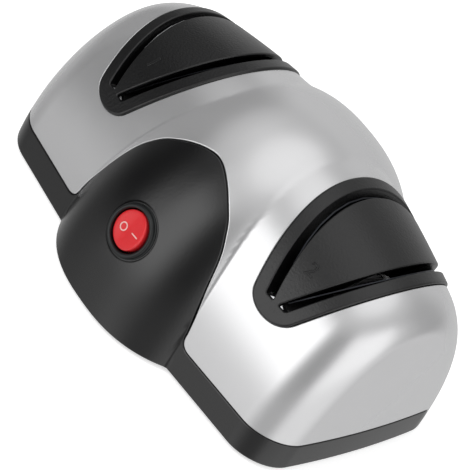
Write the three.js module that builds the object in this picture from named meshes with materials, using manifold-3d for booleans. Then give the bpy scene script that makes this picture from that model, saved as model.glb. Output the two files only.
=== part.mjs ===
// Two-stage electric knife sharpener. Millimetres, +Z up, +X to the right seen from the front, front at -Y.
// The two wings mirror each other: the coarse stage is at -X and the fine stage at +X.
import * as THREE from 'three';
import { mergeVertices } from 'three/addons/utils/BufferGeometryUtils.js';
import Module from 'manifold-3d';

const wasm = await Module();
wasm.setup();

// Driving dimensions

// General clearances and helpers
const seam = 0.3; // gap between two mouldings that meet
const fit = 0.1; // gap round a shaft in a part that it carries
const overrun = 6; // how far a cutting tool passes the surface that it cuts
const weldDistance = 1e-4;
const halfTurn = Math.PI;
const quarterTurn = Math.PI / 2;
const pivotRounds = 8; // in which the crest's height over a slot is closed in on

// Casing: two tapering arched wings and a dome between them
const wing = {
  halfLength: 84.8, // from the middle to the rim of the end face, at the base
  halfDepth: 57.6, // at the middle
  endHalfDepth: 46.4,
  height: 78.8, // at the middle
  endHeight: 64.7,
  crestPower: 1.79, // how late the crest falls towards the end
  archPower: 2.06,
  endRadius: 14.4, // round between the arch and the end face
  endDrop: 7.6, // height of that round at the crest
  endBulge: 4.1, // the end face swells by this in plan
  endSetback: 6.4, // and leans in by this at the top
  endSweep: 3, // an end stands further forward than the middle by this
  bulgeStart: 40,
};
const dome = { halfWidth: 50.4, halfDepth: 68.9, height: 81.1, archPower: 1.91, planPower: 2.46 };
const wall = 2.2;

// Smoothness: counts of facets
const outerSteps = { arch: 24, wingSpan: 2, wingRound: 3, wingCap: 2, domeSpan: 12 };
const innerSteps = { arch: 10, wingSpan: 1, wingRound: 2, wingCap: 1, domeSpan: 8 };

// Lower housing: a band round the front and the ends, low at the rear, and a bell-shaped panel at the front
const band = { height: 11.7, rearHeight: 4.2, endDepth: 31, endRun: 7, endRadius: 2 };
const panel = { height: 65.6, footHalfWidth: 35.8, cornerRadius: 5.5 };
const panelWidthShares = [0.979, 0.927, 0.858, 0.777, 0.679, 0.534, 0.274];
const panelHeightShares = [0.171, 0.31, 0.468, 0.617, 0.729, 0.84, 0.952];
const ledge = { width: 4, thickness: 0.8 };

// Bottom cover
const cover = { thickness: 2.5, bossHeight: 2.2, bossRadius: 5.6 };
const vent = { length: 22, width: 2.6, spacing: 6, perSide: 5, offset: 21 };
const foot = { radius: 6, stand: 1.5, sunk: 0.7, endInset: 24.5, sideInset: 21, sides: 16 };

// Slot inserts, one in each wing
const stageInset = 32.5; // middle of a stage, and of its grinding wheel, from the rim of the end face
const stageX = wing.halfLength - stageInset;
const insert = {
  wall: 4, // thickness of the arched skin
  rise: 0.8, // stands proud of the shell by this
  halfWidth: 11.3, // at the height where the round tip starts
  sideTilt: 25.3, // degrees, how the sides lean out
  roundHeight: 50.3,
  tipDrop: 7.8, // the tip reaches below that height by this
  flangeWidth: 2.2,
  flangeThickness: 1.5,
};
const slot = {
  tilt: 26, // degrees, how a knife leans
  width: 3.2,
  edgeHeight: 48, // where a knife's edge comes to rest
  edgeOffset: 2.9, // from the middle of the stage to the middle of the slot, at that height
  channelWall: 1.8,
};
const guideSpring = {
  thickness: 0.4,
  topDrop: 1.4,
  foot: 1,
  wallOffset: 1,
  footClearance: 0.2,
  pivotDrop: 3,
};

// Drive train
const axisHeight = 30; // of the shaft, above the base of the band
const shaft = { radius: 3, tail: 1.6, sides: 16 };
const wheel = { radius: 22, thickness: 3, rimBevel: 0.6, sides: 32, pocketClearance: 1.2, sideClearance: 1 };
const collar = { radius: 6, length: 9, sides: 16 };
const washer = { radius: 8, thickness: 1.2, sides: 16 };
const nut = { radius: 5.4, length: 4 };
const stack = {
  halfThickness: 11,
  halfHeight: 19,
  blockHalfDepth: 16.5,
  armThickness: 7,
  legNear: 29,
  legFar: 36,
  bore: 12.3,
  boltHeight: 15.6,
};
const rotor = { radius: 12, halfLength: 11, endRing: 3, endRingInset: 1.4, sides: 24 };
const coil = { thickness: 5.6, flange: 1, cornerRadius: 3, bobbinWall: 1, bobbinGap: 0.3 };
const bracket = {
  width: 16,
  sheet: 2,
  bridge: 6,
  bridgeHalfHeight: 9.8,
  landing: 12.2,
  footLength: 14,
  boss: 8.5,
};
const bush = { radius: 6, length: 8 };
const fan = {
  gap: 0.7,
  length: 7,
  hubRadius: 6.5,
  radius: 17,
  blades: 7,
  bladeThickness: 1.4,
  bladeAngle: 35,
};
const clampBolt = { radius: 1.9, clearance: 0.25, headRadius: 3.2, headLength: 2.6, tail: 1 };
const motorPost = { radius: 4.2, height: 5.2, out: 9.5 };
const footScrew = { radius: 1.4, clearance: 0.25, headRadius: 2.9, headLength: 1.9, length: 6.5 };

// Case screws and the posts that they pull down
const caseScrew = {
  radius: 1.3,
  headRadius: 3.3,
  headLength: 1.8,
  length: 13,
  clearance: 0.25,
  sunk: 0.6,
  tipRoom: 1.3,
};
const post = { endInset: 9, sideInset: 20.6, radius: 4, gap: 0.3, sides: 12 };

// Round rocker switch, square to the panel
const rocker = {
  height: 33.6, // of its middle on the panel
  radius: 7.4,
  throw: 9, // degrees, either way from level
  crown: 1.7,
  valley: 0.7,
  depth: 3.6,
  skirtHalfWidth: 6,
  pivotDrop: 1,
  pinRadius: 1,
};
const switchBody = {
  bezelRadius: 10.5,
  bezelThickness: 2,
  bezelEdgeRadius: 0.7,
  lipRadius: 0.4,
  openingRadius: 8.1,
  bodyRadius: 9.5,
  bodyLength: 14,
  cavityDepth: 9,
  seatDepth: 0.8,
  holeClearance: 0.3,
  padRadius: 11.4,
  padThickness: 3,
  pinReach: 1.1,
  sides: 32,
};
const terminal = { width: 4.8, thickness: 0.8, length: 8, offset: 5 };

// Mains inlet at the rear
const inlet = {
  height: 16,
  halfWidth: 13,
  halfTall: 6.5,
  length: 18,
  flangeHalfWidth: 15.5,
  flangeHalfTall: 8.5,
  flangeThickness: 2.2,
  sunk: 1.6,
  socketHalfTall: 4.1,
  socketHalfSpan: 8.1,
  socketDepth: 12,
  pinOffset: 4.3,
  pinRadius: 1.2,
  pinTail: 3,
  pinTip: 2,
  padMargin: 2.4,
  padThickness: 3,
  sides: 10,
};

// Leads inside the casing
const lead = { radius: 1, sides: 6, steps: 16, floorGap: 3, sideRun: 33, clearance: 0.5, straight: 2.5 };

// Finishes
const finish = (color, roughness, metalness) =>
  new THREE.MeshStandardMaterial({ color, roughness, metalness, flatShading: true });
const silverPaint = finish(0xc9c9ca, 0.32, 0.7);
const blackPlastic = finish(0x2b2b2c, 0.42, 0);
const texturedPlastic = finish(0x353536, 0.62, 0);
const redPlastic = finish(0xdc3238, 0.3, 0);
const steel = finish(0xb4b6b8, 0.3, 1);
const lamination = finish(0x7d7f82, 0.5, 1);
const castZinc = finish(0xa2a4a6, 0.45, 1);
const bronze = finish(0x9a7442, 0.45, 1);
const brass = finish(0xc9a24e, 0.3, 1);
const copperWire = finish(0xa8552b, 0.4, 0.8);
const whiteNylon = finish(0xe8e6df, 0.5, 0);
const coarseGrit = finish(0x6e6a64, 0.9, 0.2);
const fineGrit = finish(0x9a958c, 0.85, 0.2);
const rubber = finish(0x232323, 0.85, 0);
const leadJacket = finish(0x3a3c40, 0.55, 0);

// Values worked out from the driving dimensions
const radians = (degrees) => (degrees * Math.PI) / 180;
const slotTan = Math.tan(radians(slot.tilt));
const sideTan = Math.tan(radians(insert.sideTilt));
const reach = wing.halfLength + wing.endBulge + overrun; // past the casing along X
const depthReach = dome.halfDepth + overrun; // past the casing along Y
const topReach = dome.height + overrun; // past the casing along Z

// Geometry helpers

// One closed body: shared vertices merged, flat faces dropped, faces pointing out.
function closed(geometry) {
  const bare = new THREE.BufferGeometry();
  bare.setAttribute('position', geometry.getAttribute('position').clone());
  if (geometry.index) bare.setIndex(geometry.index.clone());
  const welded = mergeVertices(bare, weldDistance);
  const place = welded.getAttribute('position');
  const source = welded.index.array;
  const faces = [];
  const [a, b, c] = [new THREE.Vector3(), new THREE.Vector3(), new THREE.Vector3()];
  let volume = 0;
  for (let i = 0; i < source.length; i += 3) {
    const [p, q, r] = [source[i], source[i + 1], source[i + 2]];
    if (p === q || q === r || r === p) continue;
    faces.push([p, q, r]);
    a.fromBufferAttribute(place, p);
    b.fromBufferAttribute(place, q);
    c.fromBufferAttribute(place, r);
    volume += a.dot(b.cross(c));
  }
  welded.setIndex(faces.flatMap(([p, q, r]) => (volume > 0 ? [p, q, r] : [p, r, q])));
  return welded;
}

function solid(geometry) {
  const body = closed(geometry);
  return new wasm.Manifold(
    new wasm.Mesh({
      numProp: 3,
      vertProperties: new Float32Array(body.getAttribute('position').array),
      triVerts: new Uint32Array(body.index.array),
    }),
  );
}

function geometryOf(body) {
  const mesh = body.getMesh();
  const geometry = new THREE.BufferGeometry();
  geometry.setAttribute('position', new THREE.BufferAttribute(new Float32Array(mesh.vertProperties), 3));
  geometry.setIndex(new THREE.BufferAttribute(new Uint32Array(mesh.triVerts), 1));
  return geometry;
}

const union = (bodies) => bodies.reduce((sum, body) => sum.add(body));
const cutAll = (body, tools) => tools.reduce((rest, tool) => rest.subtract(tool), body);

// A box between two corners.
function block(low, high) {
  const size = high.map((value, i) => value - low[i]);
  const box = new THREE.BoxGeometry(...size);
  return box.translate(...low.map((value, i) => value + size[i] / 2));
}

// A round bar on the Z axis from one height to another.
function bar(radius, low, high, sides) {
  const cylinder = new THREE.CylinderGeometry(radius, radius, high - low, sides);
  return cylinder.rotateX(quarterTurn).translate(0, 0, (low + high) / 2);
}

// A turned form on the Z axis: the profile is a list of [radius, height].
function turned(profile, sides) {
  const points = profile.map(([radius, height]) => new THREE.Vector2(radius, height));
  return new THREE.LatheGeometry(points, sides).rotateX(quarterTurn);
}

// A plain ring on the Z axis.
function ring(outer, inner, low, high, sides) {
  return turned([[inner, low], [outer, low], [outer, high], [inner, high], [inner, low]], sides);
}

const alongX = (geometry) => geometry.rotateY(quarterTurn);
const alongY = (geometry) => geometry.rotateX(-quarterTurn);

// Extrudes a shape drawn in X and Z, both ways along Y.
function throughY(shape, halfDepth, curveSegments) {
  const form = new THREE.ExtrudeGeometry(shape, { depth: 2 * halfDepth, bevelEnabled: false, curveSegments });
  form.translate(0, 0, -halfDepth);
  return form.rotateX(quarterTurn);
}

// Extrudes a shape drawn in Y and Z, both ways along X.
function throughX(shape, halfDepth, curveSegments) {
  const form = new THREE.ExtrudeGeometry(shape, { depth: 2 * halfDepth, bevelEnabled: false, curveSegments });
  form.translate(0, 0, -halfDepth);
  const turn = new THREE.Matrix4().makeBasis(
    new THREE.Vector3(0, 1, 0),
    new THREE.Vector3(0, 0, 1),
    new THREE.Vector3(1, 0, 0),
  );
  return form.applyMatrix4(turn);
}

function polygon(points) {
  return new THREE.Shape(points.map(([x, y]) => new THREE.Vector2(x, y)));
}

// Joins rings of points, all of one length, into a closed surface. The end rings may shrink to a point.
function loft(rings) {
  const count = rings[0].length;
  const last = (rings.length - 1) * count;
  const faces = [];
  for (let row = 0; row + 1 < rings.length; row += 1) {
    for (let i = 0; i < count; i += 1) {
      const a = row * count + i;
      const b = row * count + ((i + 1) % count);
      faces.push(a, b, b + count, a, b + count, a + count);
    }
  }
  for (let i = 1; i + 1 < count; i += 1) faces.push(0, i + 1, i, last, last + i, last + i + 1);
  const geometry = new THREE.BufferGeometry();
  geometry.setAttribute('position', new THREE.Float32BufferAttribute(rings.flat(2), 3));
  geometry.setIndex(faces);
  return geometry;
}

// Casing form

// Points [y, z] of an arch from the front foot over the top to the rear foot, with legs below it.
function archPoints(halfDepth, height, power, steps, legs) {
  const points = [];
  for (let i = 0; i <= steps; i += 1) {
    const angle = (halfTurn * i) / steps;
    const across = Math.cos(angle);
    const y = -halfDepth * Math.sign(across) * Math.abs(across) ** (2 / power);
    points.push([y, height * Math.abs(Math.sin(angle)) ** (2 / power)]);
  }
  points[0] = [-halfDepth, 0];
  points[steps] = [halfDepth, 0];
  if (legs > 0) {
    points.unshift([-halfDepth, -legs]);
    points.push([halfDepth, -legs]);
  }
  return points;
}

// Height of the wings' crest at a distance from the middle.
const crestAt = (x) =>
  wing.height - (wing.height - wing.endHeight) * (x / wing.halfLength) ** wing.crestPower;

// Both wings in one, smaller all round by the inset.
function wingForm(inset, steps, legs) {
  const halfLength = wing.halfLength - inset;
  const round = wing.endRadius - inset;
  const drop = wing.endDrop - inset;
  const depthSlope = (wing.halfDepth - wing.endHalfDepth) / wing.halfLength;
  const stations = []; // [x, how far round the end's corner, scale of the arch]
  const straight = halfLength - round;
  for (let i = 1; i <= steps.wingSpan; i += 1) {
    stations.push([wing.bulgeStart + ((straight - wing.bulgeStart) * i) / steps.wingSpan, 0, 1]);
  }
  for (let i = 1; i <= steps.wingRound; i += 1) {
    const angle = (quarterTurn * i) / steps.wingRound;
    stations.push([straight + round * Math.sin(angle), 1 - Math.cos(angle), 1]);
  }
  for (let i = steps.wingCap - 1; i >= 0; i -= 1) stations.push([halfLength, 1, i / steps.wingCap]);
  stations.unshift([wing.bulgeStart / 2, 0, 1], [wing.bulgeStart, 0, 1]);
  const wingRing = ([x, turn, scale], side) => {
    const halfDepth = (wing.halfDepth - depthSlope * x - inset - round * turn) * scale;
    const height = (crestAt(x) - inset - drop * turn) * scale;
    const swell = Math.max(0, (x - wing.bulgeStart) / (halfLength - wing.bulgeStart)) ** 2;
    const forward = (wing.endSweep * x) / wing.halfLength;
    return archPoints(halfDepth, height, wing.archPower, steps.arch, legs).map(([y, z]) => {
      const up = Math.max(z, 0) / wing.height;
      const out = wing.endBulge * (1 - (y / wing.halfDepth) ** 2) - wing.endSetback * up ** 2;
      return [side * (x + swell * out), y - forward, z];
    });
  };
  const right = stations.map((station) => wingRing(station, 1));
  const left = stations.map((station) => wingRing(station, -1)).reverse();
  return loft([...left, wingRing([0, 0, 1], 1), ...right]);
}

function domeForm(inset, steps, legs) {
  const rings = [];
  for (let i = 0; i <= steps.domeSpan; i += 1) {
    const across = i === 0 ? -1 : i === steps.domeSpan ? 1 : -Math.cos((halfTurn * i) / steps.domeSpan);
    const swell = Math.max(0, 1 - Math.abs(across) ** dome.planPower) ** (1 / dome.planPower);
    const halfDepth = (dome.halfDepth - inset) * swell;
    const height = (dome.height - inset) * swell;
    const arch = archPoints(halfDepth, height, dome.archPower, steps.arch, legs);
    rings.push(arch.map(([y, z]) => [(dome.halfWidth - inset) * across, y, z]));
  }
  return loft(rings);
}

const casingSolid = (inset, steps, legs) =>
  solid(wingForm(inset, steps, legs)).add(solid(domeForm(inset, steps, legs)));

// Where the dome's middle line stands at a height: its distance out from the middle.
const domeDepthAt = (height) =>
  dome.halfDepth * (1 - (height / dome.height) ** dome.archPower) ** (1 / dome.archPower);

const outerBody = casingSolid(0, outerSteps, 0);
const innerBody = casingSolid(wall, innerSteps, overrun);
const skin = outerBody.subtract(innerBody);

// Tools that share the skin among the mouldings

// Everything below the band's top edge: high at the front and the ends, low at the rear.
function bandTool(grow) {
  const top = band.height + grow;
  const end = band.endDepth + grow;
  const rear = band.rearHeight + grow;
  const shape = new THREE.Shape();
  shape.moveTo(-depthReach, -overrun);
  shape.lineTo(depthReach, -overrun);
  shape.lineTo(depthReach, rear);
  shape.lineTo(end + band.endRun * (1 - band.rearHeight / band.height), rear);
  shape.lineTo(end + band.endRun * (band.endRadius / band.height), top - band.endRadius);
  shape.quadraticCurveTo(end, top, end - band.endRadius, top);
  shape.lineTo(-depthReach, top);
  return solid(throughX(shape, reach, 5));
}

// The front panel's outline, drawn through the front half of the casing.
function panelTool(grow) {
  const rise = panel.height - band.height;
  const side = panelHeightShares.map((share, i) => [
    panel.footHalfWidth * panelWidthShares[i] + grow,
    band.height + rise * share,
  ]);
  const lowX = panel.footHalfWidth + grow;
  const foot = band.height + grow;
  const lowZ = foot + panel.cornerRadius;
  const up = side.map(([x, z]) => new THREE.Vector2(x, z));
  const down = side.map(([x, z]) => new THREE.Vector2(-x, z)).reverse();
  const shape = new THREE.Shape();
  shape.moveTo(lowX + panel.cornerRadius, -overrun);
  shape.lineTo(lowX + panel.cornerRadius, foot);
  shape.quadraticCurveTo(lowX, foot, lowX, lowZ);
  const crown = new THREE.Vector2(0, panel.height + grow);
  shape.splineThru([...up, crown, ...down, new THREE.Vector2(-lowX, lowZ)]);
  shape.quadraticCurveTo(-lowX, foot, -lowX - panel.cornerRadius, foot);
  shape.lineTo(-lowX - panel.cornerRadius, -overrun);
  const prism = throughY(shape, depthReach / 2, 5).translate(0, -depthReach / 2, 0);
  return solid(prism);
}

// A slot insert's outline, drawn right through one wing: sides that lean out, with a round tip below.
function insertTool(side, grow) {
  const lean = grow / Math.cos(radians(insert.sideTilt));
  const half = insert.halfWidth + lean;
  const top = half + (topReach - insert.roundHeight) * sideTan;
  const shape = new THREE.Shape();
  shape.moveTo(-half, insert.roundHeight);
  shape.absellipse(0, insert.roundHeight, half, insert.tipDrop + grow, halfTurn, 2 * halfTurn, false, 0);
  shape.lineTo(top, topReach);
  shape.lineTo(-top, topReach);
  return solid(throughY(shape, depthReach, 8).translate(side * stageX, 0, 0));
}

// Where a slot's middle plane passes just under the crest: [distance from the middle of the stage, height].
function slotPivot(side, away) {
  const offsetAt = (height) => slot.edgeOffset + (height - slot.edgeHeight) * slotTan;
  let crest = crestAt(stageX);
  for (let i = 0; i < pivotRounds; i += 1) crest = crestAt(stageX + side * away * offsetAt(crest));
  const height = crest - guideSpring.pivotDrop;
  return [offsetAt(height), height];
}

// A flat plate that leans with a knife in its slot. The offset moves it away from the wedge.
function leaningPlate(side, away, thickness, bottom, offset, tilt) {
  const [centre, pivotHeight] = slotPivot(side, away);
  const below = (pivotHeight - bottom) / Math.cos(radians(slot.tilt));
  const plate = block(
    [-thickness / 2 + offset, -depthReach, -below],
    [thickness / 2 + offset, depthReach, topReach - pivotHeight],
  );
  plate.rotateY(radians(tilt));
  if (away < 0) plate.scale(-1, 1, 1);
  plate.translate(side * stageX + away * centre, 0, pivotHeight);
  return solid(plate);
}

// Scene graph
const product = new THREE.Group();
product.position.z = foot.stand;

function addPiece(name, geometry, material, parent = product) {
  const mesh = new THREE.Mesh(closed(geometry), material);
  mesh.name = name;
  parent.add(mesh);
  return mesh;
}

// Grinding wheel pockets in the inserts, and the switch's frame on the panel
const pocketRadius = wheel.radius + wheel.pocketClearance;
const pocketHalf = wheel.thickness / 2 + wheel.sideClearance;
const switchDepth = domeDepthAt(rocker.height);
const slopeY = (switchDepth / dome.halfDepth) ** (dome.archPower - 1) / dome.halfDepth;
const slopeZ = (rocker.height / dome.height) ** (dome.archPower - 1) / dome.height;
const switchTurn = Math.atan2(slopeY, slopeZ);
const switchFrame = new THREE.Group();
switchFrame.position.set(
  0,
  -switchDepth + switchBody.seatDepth * Math.sin(switchTurn),
  rocker.height - switchBody.seatDepth * Math.cos(switchTurn),
);
switchFrame.rotation.x = switchTurn;
switchFrame.updateMatrix();
const onSwitch = (geometry) => solid(geometry.applyMatrix4(switchFrame.matrix));

const inletFace = domeDepthAt(inlet.height) - inlet.sunk;
const inletBack = inletFace - inlet.flangeThickness;
const inletBlock = (halfWidth, halfTall, near, far) =>
  block([-halfWidth, near, inlet.height - halfTall], [halfWidth, far, inlet.height + halfTall]);

const fourCorners = (x, y) => [-1, 1].flatMap((sx) => [-1, 1].map((sy) => [sx * x, sy * y]));
const postPlaces = fourCorners(wing.halfLength - post.endInset, wing.endHalfDepth - post.sideInset);
const footPlaces = fourCorners(wing.halfLength - foot.endInset, wing.halfDepth - foot.sideInset);
const coverBossTop = cover.thickness + cover.bossHeight;
const postFoot = coverBossTop + post.gap;

// Upper shell, silver
function upperShell() {
  const clip = casingSolid(wall / 2, innerSteps, overrun);
  const posts = postPlaces.map(([x, y]) =>
    solid(bar(post.radius, postFoot, topReach, post.sides).translate(x, y, 0)).intersect(clip),
  );
  const screwRoom = caseScrew.sunk + caseScrew.length + caseScrew.tipRoom;
  const bores = postPlaces.map(([x, y]) =>
    solid(
      bar(caseScrew.radius + caseScrew.clearance, -overrun, screwRoom, post.sides).translate(x, y, 0),
    ),
  );
  const [flangeWidth, flangeTall] = [inlet.flangeHalfWidth + seam, inlet.flangeHalfTall + seam];
  const padNear = inletBack - seam - inlet.padThickness;
  const pad = solid(
    inletBlock(flangeWidth + inlet.padMargin, flangeTall + inlet.padMargin, padNear, depthReach),
  ).intersect(outerBody);
  const body = cutAll(skin, [bandTool(seam), panelTool(seam), insertTool(-1, seam), insertTool(1, seam)]);
  return cutAll(union([body, ...posts, pad.subtract(bandTool(seam))]), [
    ...bores,
    solid(inletBlock(flangeWidth, flangeTall, inletBack - seam, depthReach)),
    solid(inletBlock(inlet.halfWidth + seam, inlet.halfTall + seam, inletBack - overrun, depthReach)),
  ]);
}

// Lower housing, black: band, front panel, and a ledge that rests on the bottom cover
function lowerHousing() {
  const ledgeLow = cover.thickness + seam;
  const slab = solid(block([-reach, -depthReach, ledgeLow], [reach, depthReach, ledgeLow + ledge.thickness]));
  const rim = casingSolid(wall / 2, innerSteps, overrun)
    .subtract(casingSolid(wall + ledge.width, innerSteps, overrun))
    .intersect(slab);
  const pad = onSwitch(bar(switchBody.padRadius, -switchBody.padThickness, 0, switchBody.sides));
  const seat = onSwitch(bar(switchBody.bezelRadius + switchBody.holeClearance, 0, overrun, switchBody.sides));
  const hole = onSwitch(
    bar(switchBody.bodyRadius + switchBody.holeClearance, -overrun, overrun, switchBody.sides),
  );
  const body = skin.intersect(bandTool(0).add(panelTool(0)));
  return cutAll(union([body, rim, pad]), [seat, hole]);
}

// Bottom cover with vents, foot recesses, screw bosses and motor posts
function bottomCover() {
  const slab = solid(block([-reach, -depthReach, 0], [reach, depthReach, cover.thickness]));
  const plate = casingSolid(wall + seam, innerSteps, overrun).intersect(slab);
  const bosses = postPlaces.map(([x, y]) =>
    solid(bar(cover.bossRadius, 0, coverBossTop, post.sides).translate(x, y, 0)),
  );
  const motorPosts = [-1, 1].map((side) =>
    solid(
      bar(motorPost.radius, 0, cover.thickness + motorPost.height, post.sides)
        .translate(side * (stack.halfThickness + motorPost.out), 0, 0),
    ),
  );
  const recesses = footPlaces.map(([x, y]) =>
    solid(bar(foot.radius + seam, -overrun, foot.sunk + seam, foot.sides).translate(x, y, 0)),
  );
  const headSeat = caseScrew.sunk + caseScrew.headLength + caseScrew.clearance;
  const screwHoles = postPlaces.flatMap(([x, y]) => [
    solid(bar(caseScrew.radius + caseScrew.clearance, -overrun, topReach, post.sides).translate(x, y, 0)),
    solid(bar(caseScrew.headRadius + caseScrew.clearance, -overrun, headSeat, post.sides).translate(x, y, 0)),
  ]);
  const motorHoles = [-1, 1].map((side) =>
    solid(
      bar(footScrew.radius + footScrew.clearance, cover.thickness, topReach, post.sides)
        .translate(side * (stack.halfThickness + motorPost.out), 0, 0),
    ),
  );
  const vents = [];
  for (let i = 0; i < vent.perSide; i += 1) {
    const x = (i - (vent.perSide - 1) / 2) * vent.spacing;
    for (const side of [-1, 1]) {
      const low = side * vent.offset - vent.length / 2;
      const [from, to] = [-overrun, cover.thickness + overrun];
      vents.push(solid(block([x - vent.width / 2, low, from], [x + vent.width / 2, low + vent.length, to])));
    }
  }
  const holes = [...recesses, ...screwHoles, ...motorHoles, ...vents];
  return cutAll(union([plate, ...bosses, ...motorPosts]), holes);
}

// A slot insert: arched skin, a flange under the shell, and a walled channel for each knife slot
function slotInsert(side) {
  const proud = casingSolid(-insert.rise, outerSteps, 0);
  const cap = proud.subtract(casingSolid(insert.wall, innerSteps, overrun)).intersect(insertTool(side, 0));
  const flange = casingSolid(wall + seam, innerSteps, overrun)
    .subtract(casingSolid(wall + seam + insert.flangeThickness, innerSteps, overrun))
    .intersect(insertTool(side, insert.flangeWidth));
  const channelWidth = slot.width + 2 * slot.channelWall;
  const channels = [-1, 1].map((away) =>
    leaningPlate(side, away, channelWidth, slot.edgeHeight - slot.channelWall, 0, slot.tilt)
      .intersect(proud)
      .intersect(insertTool(side, 0)),
  );
  const slots = [-1, 1].map((away) => leaningPlate(side, away, slot.width, slot.edgeHeight, 0, slot.tilt));
  const pocket = solid(
    alongX(bar(pocketRadius, -pocketHalf, pocketHalf, wheel.sides))
      .translate(side * stageX, 0, axisHeight),
  );
  return cutAll(union([cap, flange, ...channels]), [...slots, pocket]);
}

// A guide spring: a thin leaf at the side of the slot away from the wedge, whose foot leans across the slot
function guideLeaf(side, away) {
  const foot = slot.edgeHeight + guideSpring.foot;
  const [, pivotHeight] = slotPivot(side, away);
  const footPlace = slot.width / 2 - guideSpring.thickness / 2 - guideSpring.footClearance;
  const across = guideSpring.wallOffset + footPlace;
  const lean = Math.asin((across * Math.cos(radians(slot.tilt))) / (pivotHeight - foot));
  const tilt = slot.tilt + lean / radians(1);
  return leaningPlate(side, away, guideSpring.thickness, foot, guideSpring.wallOffset, tilt)
    .intersect(solid(wingForm(guideSpring.topDrop, outerSteps, 0)))
    .intersect(insertTool(side, 0));
}

addPiece('upper_shell', geometryOf(upperShell()), silverPaint);
addPiece('lower_housing', geometryOf(lowerHousing()), blackPlastic);
addPiece('bottom_cover', geometryOf(bottomCover()), blackPlastic);
for (const [side, stage] of [[-1, 'coarse'], [1, 'fine']]) {
  addPiece(`slot_insert_${stage}`, geometryOf(slotInsert(side)), texturedPlastic);
  for (const [away, place] of [[-side, 'inner'], [side, 'outer']]) {
    addPiece(`guide_spring_${stage}_${place}`, geometryOf(guideLeaf(side, away)), steel);
  }
}

// Feet and case screws
footPlaces.forEach(([x, y], i) => {
  const pad = turned(
    [
      [0, -foot.stand],
      [foot.radius - foot.sunk, -foot.stand],
      [foot.radius, 0],
      [foot.radius, foot.sunk],
      [0, foot.sunk],
    ],
    foot.sides,
  );
  addPiece(`rubber_foot_${i + 1}`, pad, rubber).position.set(x, y, 0);
});
postPlaces.forEach(([x, y], i) => {
  const neck = caseScrew.sunk + caseScrew.headLength;
  const screw = turned(
    [
      [0, caseScrew.sunk],
      [caseScrew.headRadius, caseScrew.sunk],
      [caseScrew.headRadius, neck],
      [caseScrew.radius, neck],
      [caseScrew.radius, caseScrew.sunk + caseScrew.length],
      [0, caseScrew.sunk + caseScrew.length],
    ],
    post.sides,
  );
  addPiece(`case_screw_${i + 1}`, screw, steel).position.set(x, y, 0);
});

// Rocker switch
product.add(switchFrame);
const pinLength = rocker.radius + switchBody.pinReach;
{
  const b = switchBody;
  const shellProfile = [
    [0, -b.bodyLength],
    [b.bodyRadius, -b.bodyLength],
    [b.bodyRadius, 0],
    [b.bezelRadius, 0],
    [b.bezelRadius, b.bezelThickness - b.bezelEdgeRadius],
    [b.bezelRadius - b.bezelEdgeRadius, b.bezelThickness],
    [b.openingRadius + b.lipRadius, b.bezelThickness],
    [b.openingRadius, b.bezelThickness - b.lipRadius],
    [b.openingRadius, b.bezelThickness - b.cavityDepth],
    [0, b.bezelThickness - b.cavityDepth],
  ];
  const pinHole = solid(
    alongY(bar(rocker.pinRadius + seam, -pinLength - seam, pinLength + seam, b.sides / 2))
      .translate(0, 0, -rocker.pivotDrop),
  );
  const body = solid(turned(shellProfile, b.sides)).subtract(pinHole);
  addPiece('switch_housing', geometryOf(body), blackPlastic, switchFrame);
}
const rockerPivot = new THREE.Group();
rockerPivot.position.z = -rocker.pivotDrop;
rockerPivot.rotation.y = -radians(rocker.throw);
switchFrame.add(rockerPivot);
{
  const side = polygon([
    [-rocker.skirtHalfWidth, -rocker.depth],
    [rocker.skirtHalfWidth, -rocker.depth],
    [rocker.radius, 0],
    [rocker.radius, rocker.crown + rocker.pivotDrop],
    [0, rocker.valley + rocker.pivotDrop],
    [-rocker.radius, rocker.crown + rocker.pivotDrop],
    [-rocker.radius, 0],
  ]);
  const disc = solid(bar(rocker.radius, -rocker.depth - overrun, rocker.crown + overrun, switchBody.sides));
  const pins = solid(alongY(bar(rocker.pinRadius, -pinLength, pinLength, switchBody.sides / 2)));
  const body = solid(throughY(side, rocker.radius, 1)).intersect(disc).add(pins);
  addPiece('switch_rocker', geometryOf(body), redPlastic, rockerPivot);
}
for (const [side, place] of [[-1, 'left'], [1, 'right']]) {
  const tab = block(
    [-terminal.thickness / 2, -terminal.width / 2, -terminal.length],
    [terminal.thickness / 2, terminal.width / 2, 0],
  );
  addPiece(`switch_terminal_${place}`, tab, brass, switchFrame)
    .position.set(side * terminal.offset, 0, -switchBody.bodyLength - seam);
}

// Mains inlet
{
  const socket = new THREE.Shape();
  const straight = inlet.socketHalfSpan - inlet.socketHalfTall;
  socket.absarc(straight, 0, inlet.socketHalfTall, -quarterTurn, quarterTurn, false);
  socket.absarc(-straight, 0, inlet.socketHalfTall, quarterTurn, quarterTurn + halfTurn, false);
  const cavity = throughY(socket, inlet.socketDepth, 8).translate(0, inletFace, inlet.height);
  const body = cutAll(
    solid(inletBlock(inlet.flangeHalfWidth, inlet.flangeHalfTall, inletBack, inletFace)).add(
      solid(inletBlock(inlet.halfWidth, inlet.halfTall, inletFace - inlet.length, inletFace)),
    ),
    [
      solid(cavity),
      ...[-1, 1].map((side) =>
        solid(
          alongY(bar(inlet.pinRadius + fit, inletFace - inlet.length - overrun, inletFace, inlet.sides))
            .translate(side * inlet.pinOffset, 0, inlet.height),
        ),
      ),
    ],
  );
  addPiece('inlet_socket', geometryOf(body), blackPlastic);
  for (const [side, place] of [[-1, 'left'], [1, 'right']]) {
    const back = inletFace - inlet.length - inlet.pinTail;
    const tip = inletFace - inlet.pinTip;
    const pin = turned(
      [
        [0, back],
        [inlet.pinRadius, back],
        [inlet.pinRadius, tip - inlet.pinRadius],
        [inlet.pinRadius / 2, tip],
        [0, tip],
      ],
      inlet.sides,
    );
    addPiece(`inlet_pin_${place}`, alongY(pin), brass).position.set(side * inlet.pinOffset, 0, inlet.height);
  }
}

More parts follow.
